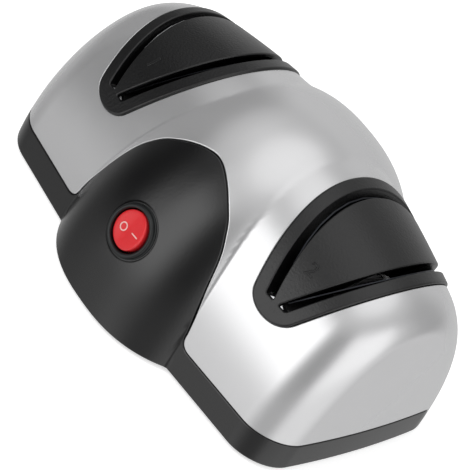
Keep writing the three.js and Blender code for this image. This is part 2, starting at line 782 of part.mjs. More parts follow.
// Motor: the frame that stands still
const motor = new THREE.Group();
motor.position.z = axisHeight;
product.add(motor);
const bracketFootHeight = cover.thickness + motorPost.height + seam - axisHeight;
const bridgeFace = stack.halfThickness + seam + bracket.bridge; // inner face of a bracket's bridge
{
  const s = stack;
  const plate = polygon([
    [-s.blockHalfDepth, -s.halfHeight],
    [s.legFar, -s.halfHeight],
    [s.legFar, s.halfHeight],
    [-s.blockHalfDepth, s.halfHeight],
  ]);
  const windowHalf = s.halfHeight - s.armThickness;
  plate.holes.push(
    new THREE.Path([
      new THREE.Vector2(s.blockHalfDepth, -windowHalf),
      new THREE.Vector2(s.legNear, -windowHalf),
      new THREE.Vector2(s.legNear, windowHalf),
      new THREE.Vector2(s.blockHalfDepth, windowHalf),
    ]),
    new THREE.Path().absarc(0, 0, s.bore, 0, 2 * halfTurn),
  );
  for (const side of [-1, 1]) {
    const boltHole = clampBolt.radius + clampBolt.clearance;
    plate.holes.push(new THREE.Path().absarc(0, side * s.boltHeight, boltHole, 0, 2 * halfTurn));
  }
  addPiece('stator_core', throughX(plate, s.halfThickness, 18), lamination, motor);
}

// Rounded rectangle round the stator's leg, drawn in X and Y.
function legOutline(margin, cornerRadius) {
  const halfX = stack.halfThickness + margin;
  const [near, far] = [stack.legNear - margin, stack.legFar + margin];
  const corners = [[halfX, near], [halfX, far], [-halfX, far], [-halfX, near]];
  const shape = new THREE.Path();
  const signs = [[-1, 1], [-1, -1], [1, -1], [1, 1]];
  corners.forEach(([x, y], i) => {
    const [sx, sy] = signs[i];
    const [middleX, middleY] = [x + sx * cornerRadius, y + sy * cornerRadius];
    const start = -quarterTurn + i * quarterTurn;
    shape.absarc(middleX, middleY, cornerRadius, start, start + quarterTurn, false);
  });
  return shape;
}
function legRing(outer, outerRound, inner, innerRound, low, high) {
  const shape = new THREE.Shape(legOutline(outer, outerRound).getPoints(2));
  shape.holes.push(new THREE.Path(legOutline(inner, innerRound).getPoints(2)));
  return new THREE.ExtrudeGeometry(shape, { depth: high - low, bevelEnabled: false }).translate(0, 0, low);
}
{
  const half = stack.halfHeight - stack.armThickness - coil.bobbinGap;
  const inner = coil.bobbinGap;
  const innerRound = coil.bobbinGap;
  const tubeOuter = inner + coil.bobbinWall;
  const lip = tubeOuter + coil.thickness;
  const bobbin = union([
    solid(legRing(tubeOuter, coil.bobbinWall, inner, innerRound, -half, half)),
    solid(legRing(lip, coil.cornerRadius, inner, innerRound, -half, -half + coil.flange)),
    solid(legRing(lip, coil.cornerRadius, inner, innerRound, half - coil.flange, half)),
  ]);
  addPiece('coil_bobbin', geometryOf(bobbin), whiteNylon, motor);
  const windingHalf = half - coil.flange - coil.bobbinGap;
  const winding = legRing(
    lip - coil.bobbinGap,
    coil.cornerRadius,
    tubeOuter + coil.bobbinGap,
    coil.bobbinWall,
    -windingHalf,
    windingHalf,
  );
  addPiece('coil_winding', winding, copperWire, motor);
}

for (const [side, place] of [[-1, 'left'], [1, 'right']]) {
  const near = stack.halfThickness + seam;
  const t = bracket.sheet;
  const out = bracket.bridge;
  const [kneeIn, kneeOut] = [bracket.landing, bracket.bridgeHalfHeight];
  const strip = polygon([
    [near, stack.halfHeight],
    [near, kneeIn],
    [near + out, kneeOut],
    [near + out, -kneeOut],
    [near, -kneeIn],
    [near, bracketFootHeight],
    [near + bracket.footLength, bracketFootHeight],
    [near + bracket.footLength, bracketFootHeight + t],
    [near + t, bracketFootHeight + t],
    [near + t, -kneeIn],
    [near + out + t, -kneeOut],
    [near + out + t, kneeOut],
    [near + t, kneeIn],
    [near + t, stack.halfHeight],
  ]);
  const hub = alongX(bar(bracket.boss, bridgeFace, bridgeFace + bush.length, shaft.sides));
  const bore = alongX(bar(bush.radius + fit, 0, reach, shaft.sides));
  const boltHoles = [-1, 1].map((up) =>
    solid(
      alongX(bar(clampBolt.radius + clampBolt.clearance, 0, reach, post.sides))
        .translate(0, 0, up * stack.boltHeight),
    ),
  );
  const screwHole = solid(
    bar(footScrew.radius + footScrew.clearance, -axisHeight, 0, post.sides)
      .translate(stack.halfThickness + motorPost.out, 0, 0),
  );
  const body = cutAll(solid(throughY(strip, bracket.width / 2, 1)).add(solid(hub)), [
    solid(bore),
    ...boltHoles,
    screwHole.intersect(solid(block([0, -reach, -axisHeight], [reach, reach, -kneeIn]))),
  ]);
  const bracketMesh = addPiece(`bearing_bracket_${place}`, geometryOf(body), castZinc, motor);
  if (side < 0) bracketMesh.rotation.z = halfTurn;
  const bushEnd = bridgeFace + bush.length;
  const bushForm = alongX(ring(bush.radius, shaft.radius + fit, bridgeFace, bushEnd, shaft.sides));
  const bushMesh = addPiece(`bearing_bush_${place}`, bushForm, bronze, motor);
  if (side < 0) bushMesh.rotation.z = halfTurn;
  const footTop = bracketFootHeight + t;
  const screw = turned(
    [
      [0, footTop - footScrew.length],
      [footScrew.radius, footTop - footScrew.length],
      [footScrew.radius, footTop + seam],
      [footScrew.headRadius, footTop + seam],
      [footScrew.headRadius, footTop + seam + footScrew.headLength],
      [0, footTop + seam + footScrew.headLength],
    ],
    post.sides,
  );
  addPiece(`bracket_screw_${place}`, screw, steel, motor)
    .position.x = side * (stack.halfThickness + motorPost.out);
}

for (const [up, place] of [[1, 'upper'], [-1, 'lower']]) {
  const seat = stack.halfThickness + 2 * seam + bracket.sheet;
  const headTop = seat + clampBolt.headLength;
  const form = union([
    solid(bar(clampBolt.radius, -headTop - clampBolt.tail, headTop, post.sides)),
    solid(bar(clampBolt.headRadius, seat, headTop, 6)),
    solid(bar(clampBolt.headRadius, -headTop, -seat, 6)),
  ]);
  addPiece(`clamp_bolt_${place}`, alongX(geometryOf(form)), steel, motor).position.z = up * stack.boltHeight;
}

// Rotor: all that turns with the shaft
const spindle = new THREE.Group();
motor.add(spindle);
const shaftEnd = stageX + wheel.thickness / 2 + 2 * fit + washer.thickness + nut.length + shaft.tail;
addPiece('motor_shaft', alongX(bar(shaft.radius, -shaftEnd, shaftEnd, shaft.sides)), steel, spindle);
{
  const r = rotor;
  const inside = shaft.radius + fit;
  const core = turned(
    [
      [inside, -r.halfLength - r.endRing],
      [r.radius - r.endRingInset, -r.halfLength - r.endRing],
      [r.radius - r.endRingInset, -r.halfLength],
      [r.radius, -r.halfLength],
      [r.radius, r.halfLength],
      [r.radius - r.endRingInset, r.halfLength],
      [r.radius - r.endRingInset, r.halfLength + r.endRing],
      [inside, r.halfLength + r.endRing],
      [inside, -r.halfLength - r.endRing],
    ],
    r.sides,
  );
  addPiece('rotor_core', alongX(core), lamination, spindle);
}
{
  const blades = [];
  for (let i = 0; i < fan.blades; i += 1) {
    const blade = block(
      [-fan.bladeThickness / 2, shaft.radius + fan.bladeThickness, 0],
      [fan.bladeThickness / 2, fan.radius, fan.length],
    );
    blade.translate(0, 0, -fan.length / 2).rotateY(radians(fan.bladeAngle)).translate(0, 0, fan.length / 2);
    blades.push(solid(blade.rotateZ((2 * halfTurn * i) / fan.blades)));
  }
  const hub = solid(bar(fan.hubRadius, 0, fan.length, shaft.sides));
  const bore = solid(bar(shaft.radius + fit, -overrun, fan.length + overrun, shaft.sides));
  const form = geometryOf(union([hub, ...blades]).subtract(bore));
  addPiece('cooling_fan', alongX(form), whiteNylon, spindle).position.x = bridgeFace + bush.length + fan.gap;
}
for (const [side, stage, grit] of [[-1, 'coarse', coarseGrit], [1, 'fine', fineGrit]]) {
  const half = wheel.thickness / 2;
  const inside = shaft.radius + fit;
  const disc = turned(
    [
      [inside, -half],
      [wheel.radius - wheel.rimBevel, -half],
      [wheel.radius, -half + wheel.rimBevel],
      [wheel.radius, half - wheel.rimBevel],
      [wheel.radius - wheel.rimBevel, half],
      [inside, half],
      [inside, -half],
    ],
    wheel.sides,
  );
  addPiece(`grinding_wheel_${stage}`, alongX(disc), grit, spindle).position.x = side * stageX;
  const sleeve = alongX(ring(collar.radius, inside, -collar.length / 2, collar.length / 2, collar.sides));
  addPiece(`wheel_collar_${stage}`, sleeve, steel, spindle)
    .position.x = side * (stageX - half - fit - collar.length / 2);
  const disk = alongX(ring(washer.radius, inside, -washer.thickness / 2, washer.thickness / 2, washer.sides));
  addPiece(`wheel_washer_${stage}`, disk, steel, spindle)
    .position.x = side * (stageX + half + fit + washer.thickness / 2);
  const hex = solid(bar(nut.radius, -nut.length / 2, nut.length / 2, 6))
    .subtract(solid(bar(inside, -overrun, overrun, shaft.sides)));
  addPiece(`wheel_nut_${stage}`, alongX(geometryOf(hex)), steel, spindle)
    .position.x = side * (stageX + half + 2 * fit + washer.thickness + nut.length / 2);
}

// Leads from the inlet to the switch and the coil
function leadForm(points) {
  const section = new THREE.Shape();
  section.absarc(0, 0, lead.radius, 0, 2 * halfTurn);
  const path = new THREE.CatmullRomCurve3(points.map((point) => new THREE.Vector3(...point)));
  return new THREE.ExtrudeGeometry(section, {
    steps: lead.steps,
    curveSegments: lead.sides / 2,
    bevelEnabled: false,
    extrudePath: path,
  });
}
{
  const floor = cover.thickness + lead.floorGap;
  const pinBack = inletFace - inlet.length - inlet.pinTail - lead.clearance;
  const tabEnd = -switchBody.bodyLength - seam - terminal.length - lead.clearance;
  const onTab = (side, below) => {
    const place = new THREE.Vector3(side * terminal.offset, 0, tabEnd - below);
    return place.applyMatrix4(switchFrame.matrix).toArray();
  };
  const rearBend = pinBack - lead.straight * 2;
  const [, frontBend] = onTab(1, lead.straight * 2);
  const fromPin = (side) => [
    [side * inlet.pinOffset, pinBack, inlet.height],
    [side * inlet.pinOffset, pinBack - lead.straight, inlet.height],
  ];
  const liveRun = [
    ...fromPin(-1),
    [-lead.sideRun / 2, rearBend, floor],
    [-lead.sideRun, stack.blockHalfDepth, floor],
    [-lead.sideRun, -stack.blockHalfDepth, floor],
    [-lead.sideRun / 2, frontBend, floor],
    onTab(-1, lead.straight),
    onTab(-1, 0),
  ];
  const coilWall = coil.bobbinWall + coil.thickness + 2 * coil.bobbinGap;
  const coilSide = stack.halfThickness + coilWall + lead.clearance;
  const intoCoil = (y) => [
    [coilSide + lead.straight, y, axisHeight],
    [coilSide, y, axisHeight],
  ];
  const switchedRun = [
    onTab(1, 0),
    onTab(1, lead.straight),
    [lead.sideRun / 2, frontBend, floor],
    [lead.sideRun, -stack.blockHalfDepth, floor],
    [lead.sideRun, stack.blockHalfDepth, floor],
    ...intoCoil(stack.legNear),
  ];
  const returnRun = [
    ...fromPin(1),
    [coilSide + lead.straight * 2, rearBend, (floor + axisHeight) / 2],
    ...intoCoil(stack.legFar),
  ];
  addPiece('lead_inlet_to_switch', leadForm(liveRun), leadJacket);
  addPiece('lead_switch_to_coil', leadForm(switchedRun), leadJacket);
  addPiece('lead_inlet_to_coil', leadForm(returnRun), leadJacket);
}

export default product;
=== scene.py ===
"""Two-stage electric knife sharpener: its visible pieces and finishes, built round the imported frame.

Sizes are in millimetres, and heights start at the casing's base. Where a mesh is made, its points turn to
metres and rise onto the feet.
"""

import logging
import math
from collections.abc import Callable, Iterable, Iterator, Sequence
from contextlib import contextmanager
from dataclasses import dataclass, replace
from enum import Enum

import bpy
import numpy as np
from mathutils import Matrix, Vector


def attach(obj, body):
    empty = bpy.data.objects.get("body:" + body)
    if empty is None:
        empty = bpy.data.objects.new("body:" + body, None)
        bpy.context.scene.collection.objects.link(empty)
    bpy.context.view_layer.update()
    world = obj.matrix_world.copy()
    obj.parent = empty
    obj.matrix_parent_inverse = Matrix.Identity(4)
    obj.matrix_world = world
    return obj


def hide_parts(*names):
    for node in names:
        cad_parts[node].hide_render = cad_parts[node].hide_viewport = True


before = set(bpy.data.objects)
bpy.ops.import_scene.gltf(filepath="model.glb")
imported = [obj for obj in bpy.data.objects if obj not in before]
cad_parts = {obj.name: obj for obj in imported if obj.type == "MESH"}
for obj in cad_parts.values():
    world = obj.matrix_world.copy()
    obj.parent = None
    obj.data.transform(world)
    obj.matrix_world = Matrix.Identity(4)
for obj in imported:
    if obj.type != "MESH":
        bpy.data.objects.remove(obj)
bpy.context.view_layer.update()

LOG = logging.getLogger("sharpener")
MM = 0.001
STAND = 1.5  # the feet lift the casing by this
IMAGE = 470  # pixels along a side of the square picture
QUARTER = math.pi / 2
FAR = 200.0  # well outside the casing
CURVED = 60.0  # degrees up to which the faces of a rounded shape are shaded smooth

Points = np.ndarray
Depth = Callable[[Points], Points]  # how far inside an edge each point lies


class Stage(Enum):
    """A grinding stage, by its side of the casing."""

    COARSE = -1
    FINE = 1


class Place(Enum):
    """Which of a stage's two slots: the one nearer to the casing's middle, or the one nearer to its end."""

    INNER = -1
    OUTER = 1


def mm(*values: float) -> tuple[float, ...]:
    """Millimetres to metres."""
    return tuple(value * MM for value in values)


def word(choice: Enum) -> str:
    """A choice as the names of pieces and nodes spell it."""
    return choice.name.lower()


# Shapes of the casing


@dataclass(frozen=True)
class CasingForm:
    """The casing's outer surface: two arched wings with swept ends, and a dome between them."""

    half_length: float = 84.8
    half_depth: float = 57.6
    end_half_depth: float = 46.4
    height: float = 78.8
    end_height: float = 64.7
    crest_power: float = 1.79
    arch_power: float = 2.06
    end_radius: float = 14.4
    end_drop: float = 7.6
    end_bulge: float = 4.1
    end_setback: float = 6.4
    end_sweep: float = 3.0  # the ends stand nearer to the front than the middle by this
    bulge_start: float = 40.0
    dome_half_width: float = 50.4
    dome_half_depth: float = 68.9
    dome_height: float = 81.1
    dome_power: float = 1.91
    dome_plan_power: float = 2.46
    blend: float = 0.6  # soft hollow where the dome meets a wing
    blend_start: float = 18.0
    blend_least: float = 0.02  # share of the blend's width that is left at the middle
    leg: float = 3.0  # the surface goes on below the base by this, for a clean cut

    def _wing(self, u: Points, v: Points) -> Points:
        """Points on the wings.

        Args:
            u: Stations along the length, from -3 to 3. Past 1 the end turns in, and past 2 its face closes.
            v: Stations over the arch, from 0 in front to 1 at the rear. Beyond them is a leg below the base.

        Returns:
            A point for each pair of stations.
        """
        straight = self.half_length - self.end_radius
        along = np.abs(u)
        turn = np.clip(along - 1, 0, 1) * QUARTER
        x = straight * np.minimum(along, 1) + self.end_radius * np.sin(turn)
        round_off = 1 - np.cos(turn)
        scale = 3 - np.maximum(along, 2)
        out = x / self.half_length
        depth = self.half_depth - (self.half_depth - self.end_half_depth) * out - self.end_radius * round_off
        fall = (self.height - self.end_height) * out**self.crest_power
        height = self.height - fall - self.end_drop * round_off
        angle = np.clip(v, 0, 1) * math.pi
        across, up = np.cos(angle), np.sin(angle)
        power = 2 / self.arch_power
        y = -depth * np.sign(across) * np.abs(across) ** power
        z = height * np.abs(up) ** power
        below = self.leg * (np.clip(-v, 0, 1) + np.clip(v - 1, 0, 1))
        y, z = y * scale, (z - below + self.leg) * scale - self.leg
        reach = np.clip((x - self.bulge_start) / (self.half_length - self.bulge_start), 0, None) ** 2
        lean = (np.clip(z, 0, None) / self.height) ** 2
        swell = reach * (self.end_bulge * (1 - (y / self.half_depth) ** 2) - self.end_setback * lean)
        return np.stack([np.sign(u) * (x + swell), y - self.end_sweep * out, z], axis=-1)

    def _dome_radius(self, x: Points, cos: Points, sin: Points) -> Points:
        """How far the dome reaches from the middle line in directions across the length.

        Args:
            x: Places along the length.
            cos: Share of each direction that points to the front or the rear.
            sin: Share of each direction that points up.

        Returns:
            The dome's radius at each place.
        """
        share = np.clip(1 - (np.abs(x) / self.dome_half_width) ** self.dome_plan_power, 1e-9, None)
        swell = share ** (1 / self.dome_plan_power)
        part_y = (np.abs(cos) / self.dome_half_depth) ** self.dome_power
        part_z = (np.abs(sin) / self.dome_height) ** self.dome_power
        return swell / (part_y + part_z) ** (1 / self.dome_power)

    def place(self, u: Points, v: Points) -> Points:
        """Points of the whole casing, wings and dome softly joined.

        Args:
            u: Stations along the length.
            v: Stations over the arch.

        Returns:
            A point for each pair of stations.
        """
        points = self._wing(u, v)
        x, y, z = points[..., 0], points[..., 1], points[..., 2]
        below = np.minimum(z, 0)
        z = z - below
        wing = np.hypot(y, z)
        safe = np.maximum(wing, 1e-6)
        dome = self._dome_radius(x, y / safe, z / safe)
        width = self.blend * np.clip(np.abs(x) / self.blend_start, self.blend_least, 1) ** 2
        overlap = np.clip(width - np.abs(wing - dome), 0, None) / width
        radius = np.maximum(wing, dome) + overlap**2 * width / 4
        radius = np.where(np.abs(x) < self.dome_half_width, radius, wing)
        return np.stack([x, y / safe * radius, z / safe * radius + below], axis=-1)

    def normal(self, u: Points, v: Points) -> Points:
        """Outward unit normals of the casing.

        Args:
            u: Stations along the length.
            v: Stations over the arch.

        Returns:
            A normal for each pair of stations.
        """
        step = 2e-5
        du = self.place(u + step, v) - self.place(u - step, v)
        dv = self.place(u, v + step) - self.place(u, v - step)
        cross = np.cross(du, dv)
        return cross / np.linalg.norm(cross, axis=-1, keepdims=True)

    def lifted(self, u: Points, v: Points, rise: float) -> tuple[Points, Points]:
        """Points moved outwards by rise, and their normals."""
        normal = self.normal(u, v)
        return self.place(u, v) + rise * normal, normal


class Outline:
    """A closed outline in a plane that knows how far inside it a point lies."""

    batch = 8192  # points that are measured together

    def __init__(self, corners: Sequence[tuple[float, float]]) -> None:
        """Keeps the corners in order round the outline."""
        self.start = np.array(corners, float)
        self.end = np.roll(self.start, -1, axis=0)

    def depth(self, a: Points, b: Points) -> Points:
        """Signed distance to the outline, positive inside.

        Args:
            a: First coordinate of each point.
            b: Second coordinate of each point.

        Returns:
            One distance for each point.
        """
        points = np.stack([a, b], axis=-1)
        result = np.empty(len(points))
        span = self.end - self.start
        length2 = (span**2).sum(axis=1)
        for low in range(0, len(points), self.batch):
            part = points[low : low + self.batch, None, :]
            share = np.clip(((part - self.start) * span).sum(axis=2) / length2, 0, 1)
            away = part - self.start - share[..., None] * span
            distance = np.sqrt((away**2).sum(axis=2)).min(axis=1)
            over = (self.start[:, 1] > part[..., 1]) != (self.end[:, 1] > part[..., 1])
            rise = np.where(span[:, 1] == 0, 1, span[:, 1])
            meet = self.start[:, 0] + (part[..., 1] - self.start[:, 1]) * span[:, 0] / rise
            inside = (over & (part[..., 0] < meet)).sum(axis=1) % 2 == 1
            result[low : low + self.batch] = np.where(inside, distance, -distance)
        return result


def spline_through(points: Sequence[tuple[float, float]], steps: int) -> list[tuple[float, float]]:
    """A smooth curve through points in a plane, ends included.

    Args:
        points: The points, in order.
        steps: Number of pieces between two of them.

    Returns:
        The points of the curve.
    """
    knots = np.array(points, float)
    padded = np.vstack([knots[:1], knots, knots[-1:]])
    curve = []
    for i in range(len(knots) - 1):
        p0, p1, p2, p3 = padded[i : i + 4]
        for step in range(steps):
            t = step / steps
            start, end = (p2 - p0) / 2, (p3 - p1) / 2
            cubic = (2 * p1 - 2 * p2 + start + end) * t**3
            curve.append(cubic + (-3 * p1 + 3 * p2 - 2 * start - end) * t**2 + start * t + p1)
    curve.append(knots[-1])
    return [(float(x), float(z)) for x, z in curve]


def corner_curve(start: tuple, corner: tuple, end: tuple, steps: int) -> list[tuple[float, float]]:
    """A rounded corner that leans towards the sharp one.

    Args:
        start: Where the rounding starts.
        corner: The sharp corner.
        end: Where the rounding ends.
        steps: Number of pieces.

    Returns:
        The points of the rounding, ends included.
    """
    a, b, c = (np.array(point, float) for point in (start, corner, end))
    shares = [step / steps for step in range(steps + 1)]
    return [tuple((1 - t) ** 2 * a + 2 * t * (1 - t) * b + t**2 * c) for t in shares]


@dataclass(frozen=True)
class Seams:
    """The lines along which the mouldings of the casing meet."""

    gap: float = 0.3
    band_height: float = 11.7
    band_rear: float = 4.2  # height of the band at the rear
    band_end: float = 31.0  # the band starts to fall this far behind the middle
    band_run: float = 7.0  # and would meet the base after this
    band_corner: float = 2.0
    panel_height: float = 65.6
    panel_foot: float = 35.8
    panel_corner: float = 5.5
    panel_sides: tuple = (
        (0.979, 0.171), (0.927, 0.31), (0.858, 0.468), (0.777, 0.617), (0.679, 0.729), (0.534, 0.84),
        (0.274, 0.952),
    )  # the bell's side from its foot to its top, as shares of its half width and of its height
    panel_steps: int = 8
    band_steps: int = 6
    stage_x: float = 52.3  # from the casing's middle to a stage's
    insert_half: float = 11.3  # between its sides, at the height insert_round
    insert_lean: float = 25.3  # degrees by which its sides spread
    insert_round: float = 50.3
    insert_tip: float = 7.8  # its oval tip reaches this far below that height
    insert_steps: int = 40
    inlet_height: float = 16.0
    inlet_half: tuple = (15.5, 8.5)
    inlet_corner: float = 1.6

    def panel(self) -> Outline:
        """The band's top edge and the bell-shaped panel, seen from the front.

        Returns:
            The outline of what is black.
        """
        rise = self.panel_height - self.band_height
        foot, low = self.panel_foot, self.band_height + self.panel_corner
        side = [(foot * wide, self.band_height + rise * tall) for wide, tall in self.panel_sides]
        knots = [(foot, low), *side, (0, self.panel_height), *[(-x, z) for x, z in side[::-1]], (-foot, low)]
        out = foot + self.panel_corner
        right = corner_curve((out, self.band_height), (foot, self.band_height), (foot, low), self.panel_steps)
        left = [(-x, z) for x, z in right[::-1]]
        bell = spline_through(knots, self.panel_steps)[1:-1]
        base = [(FAR, -FAR), (FAR, self.band_height)]
        return Outline([*base, *right, *bell, *left, (-FAR, self.band_height), (-FAR, -FAR)])

    def band(self) -> Outline:
        """The band's top edge seen from the end: high in front and at the ends, low at the rear.

        Returns:
            The outline of what is black.
        """
        top, rear = self.band_height, self.band_rear
        low = (self.band_end + self.band_run * self.band_corner / top, top - self.band_corner)
        knee = (self.band_end + self.band_run * (1 - rear / top), rear)
        high = (self.band_end - self.band_corner, top)
        corner = corner_curve(low, (self.band_end, top), high, self.band_steps)
        return Outline([(-FAR, -FAR), (FAR, -FAR), (FAR, rear), knee, *corner, (-FAR, top)])

    def housing(self) -> Depth:
        """The area of the casing that belongs to the black housing.

        Returns:
            How far inside that area each point lies.
        """
        panel, band = self.panel(), self.band()

        def depth(p: Points) -> Points:
            """Inside the panel's outline in front, or inside the band's."""
            front = np.where(p[:, 1] < 0, panel.depth(p[:, 0], p[:, 2]), -FAR)
            return np.maximum(front, band.depth(p[:, 1], p[:, 2]))

        return depth

    def insert(self) -> Outline:
        """A slot insert's edge, seen from the front, about the middle of its stage.

        Returns:
            The outline of the insert, an oval tip with straight sides that spread upwards.
        """
        lean = math.tan(math.radians(self.insert_lean))
        top = self.insert_half + (FAR - self.insert_round) * lean
        share = self.insert_tip / self.insert_half
        stop = math.atan(share * lean)  # where the oval tip runs on into the straight sides
        fall = lean * share * (1 - math.sin(stop))
        half = (self.insert_half - lean * self.insert_tip) / (math.cos(stop) - fall)
        middle = self.insert_round - self.insert_tip + share * half
        sweep, steps = math.pi - 2 * stop, self.insert_steps
        turns = [math.pi + stop + sweep * step / steps for step in range(steps + 1)]
        tip = [(half * math.cos(t), middle + share * half * math.sin(t)) for t in turns]
        return Outline([*tip, (top, FAR), (-top, FAR)])


@dataclass(frozen=True)
class Slots:
    """The two knife slots of a stage, which lean apart towards the top."""

    tilt: float = 26.0  # degrees from upright
    half_width: float = 1.6
    edge_height: float = 48.0  # how deep a blade's edge goes
    edge_offset: float = 2.9  # from the stage's middle to that edge
    corner: float = 0.7

    def frame(self, stage: Stage, place: Place, seams: Seams) -> tuple[Points, Points, Points]:
        """A slot's own axes.

        Args:
            stage: The stage.
            place: Which of its slots.
            seams: Gives the middle of the stage.

        Returns:
            A point on the middle plane at the depth of the edge, the direction across the slot, and the
            direction down it.
        """
        turn = math.radians(self.tilt)
        away = stage.value * place.value  # the direction along X in which the slot leans
        origin = np.array([stage.value * seams.stage_x + away * self.edge_offset, 0, self.edge_height])
        across = np.array([away * math.cos(turn), 0, -math.sin(turn)])
        down = np.array([-away * math.sin(turn), 0, -math.cos(turn)])
        return origin, across, down


@dataclass(frozen=True)
class Level:
    """One edge of a moulding: positive where there is material, and how far its edge is rounded."""

    name: str
    depth: Depth
    rounding: float = 0.0


@dataclass
class Loop:
    """A closed run of points along an edge, with the material on its left seen from outside."""

    name: str
    points: Points
    normals: Points
    outward: Points
    indices: list[int]


class CutSkin:
    """A moulding's outer surface: a fine grid on the casing, cut along the moulding's edges."""

    snap = 0.28  # a grid point nearer to a crossing than this share of a side moves onto it
    halvings = 14  # rounds of the search for a crossing
    reach = 8.0  # only points this near to a rounded edge need its slope
    slope_step = 0.01

    def __init__(self, form: CasingForm, u: Points, v: Points, rise: float, levels: list[Level]) -> None:
        """Cuts the grid.

        Args:
            form: The casing's form.
            u: Grid stations along the length.
            v: Grid stations over the arch.
            rise: How far the surface stands off the casing's form.
            levels: The moulding's edges.
        """
        self.form, self.rise, self.levels = form, rise, levels
        grid_u, grid_v = np.meshgrid(u, v, indexing="ij")
        self.uv = np.stack([grid_u.ravel(), grid_v.ravel()], axis=-1)
        rows, columns = len(u), len(v)
        index = np.arange(rows * columns).reshape(rows, columns)
        a, b = index[:-1, :-1].ravel(), index[1:, :-1].ravel()
        c, d = index[1:, 1:].ravel(), index[:-1, 1:].ravel()
        triangles = np.concatenate([np.stack([a, b, c], axis=-1), np.stack([a, c, d], axis=-1)])
        heights = self._height(self.uv)[0]
        self._cut(triangles, heights)

    def _height(self, uv: Points) -> tuple[Points, Points]:
        """How far inside the edges the points lie, with room for their roundings.

        Args:
            uv: The points' stations.

        Returns:
            One distance for each point, and which edge it is measured from.
        """
        points, normals = self.form.lifted(uv[:, 0], uv[:, 1], self.rise)
        heights = []
        for level in self.levels:
            depth = level.depth(points)
            if level.rounding:
                near = np.abs(depth) < self.reach
                slope = np.linalg.norm(self._slope(level, points[near], normals[near]), axis=-1)
                depth[near] -= level.rounding * slope
            heights.append(depth)
        stacked = np.stack(heights)
        return stacked.min(axis=0), stacked.argmin(axis=0)

    def _slope(self, level: Level, points: Points, normals: Points) -> Points:
        """Gradient of an edge's depth along the surface.

        Args:
            level: The edge.
            points: Places on the surface.
            normals: The surface's normals there.

        Returns:
            One direction for each point.
        """
        slope = np.zeros_like(points)
        for axis in range(3):
            shift = np.zeros(3)
            shift[axis] = self.slope_step
            rise = level.depth(points + shift) - level.depth(points - shift)
            slope[:, axis] = rise / (2 * self.slope_step)
        return slope - (slope * normals).sum(axis=-1, keepdims=True) * normals

    def _cut(self, triangles: Points, heights: Points) -> None:
        """Keeps the side with material, with points placed exactly on its edge.

        Args:
            triangles: The grid's faces.
            heights: How far inside the edges its points lie.
        """
        sides = np.concatenate([triangles[:, [0, 1]], triangles[:, [1, 2]], triangles[:, [2, 0]]])
        sides = np.unique(np.sort(sides, axis=1), axis=0)
        crossing = sides[(heights[sides[:, 0]] > 0) != (heights[sides[:, 1]] > 0)]
        near, far = crossing[:, 0].copy(), crossing[:, 1].copy()
        flip = heights[near] <= 0
        near[flip], far[flip] = far[flip], near[flip].copy()
        low, high = np.zeros(len(near)), np.ones(len(near))
        for _ in range(self.halvings):
            middle = (low + high) / 2
            uv = self.uv[near] + middle[:, None] * (self.uv[far] - self.uv[near])
            inside = self._height(uv)[0] > 0
            low, high = np.where(inside, middle, low), np.where(inside, high, middle)
        share = (low + high) / 2
        cross_uv = self.uv[near] + share[:, None] * (self.uv[far] - self.uv[near])
        state = np.where(heights > 0, 1, -1)
        best: dict[int, tuple[float, int]] = {}
        for i, (a, b, t) in enumerate(zip(near.tolist(), far.tolist(), share.tolist())):
            for vertex, gap in ((a, t), (b, 1 - t)):
                if gap < self.snap and gap < best.get(vertex, (1.0, 0))[0]:
                    best[vertex] = (gap, i)
        for vertex, (_, i) in best.items():
            self.uv[vertex] = cross_uv[i]
            state[vertex] = 0
        extra: dict[tuple[int, int], int] = {}
        added = []
        for i, (a, b) in enumerate(zip(near.tolist(), far.tolist())):
            if state[a] > 0 > state[b]:
                extra[(a, b)] = len(self.uv) + len(added)
                added.append(cross_uv[i])
        if added:
            self.uv = np.vstack([self.uv, np.array(added)])
        signs = state[triangles]
        whole = triangles[(signs.max(axis=1) > 0) & (signs.min(axis=1) >= 0)]
        faces = [tuple(face) for face in whole.tolist()]
        for face in triangles[(signs.max(axis=1) > 0) & (signs.min(axis=1) < 0)].tolist():
            faces += self._split(face, state, extra)
        self._tidy(faces)

    @staticmethod
    def _split(face: list[int], state: Points, extra: dict) -> list[tuple[int, ...]]:
        """The kept part of a triangle that the edge crosses.

        Args:
            face: The triangle's corners.
            state: 1 for points inside the edge, 0 on it and -1 outside.
            extra: The point on each side of a triangle that is cut.

        Returns:
            One or two triangles.
        """
        kept = []
        for i in range(3):
            a, b = face[i], face[(i + 1) % 3]
            if state[a] >= 0:
                kept.append(a)
            if state[a] * state[b] < 0:
                kept.append(extra[(a, b)] if state[a] > 0 else extra[(b, a)])
        return [tuple(kept[:3])] if len(kept) == 3 else [tuple(kept[:3]), (kept[0], kept[2], kept[3])]

    def _tidy(self, faces: list[tuple[int, ...]]) -> None:
        """Numbers the points that are used, and walks round the open edges.

        Args:
            faces: The kept triangles.
        """
        used = sorted({i for face in faces for i in face})
        number = {old: new for new, old in enumerate(used)}
        self.uv = self.uv[used]
        self.faces = [tuple(number[i] for i in face) for face in faces]
        self.points, self.normals = self.form.lifted(self.uv[:, 0], self.uv[:, 1], self.rise)
        directed = {(face[i], face[(i + 1) % 3]) for face in self.faces for i in range(3)}
        follow = {a: b for a, b in directed if (b, a) not in directed}
        self.loops: list[Loop] = []
        while follow:
            start = min(follow)
            walk = [start]
            step = follow.pop(start)
            while step != start:
                walk.append(step)
                step = follow.pop(step)
            self.loops.append(self._loop(walk))

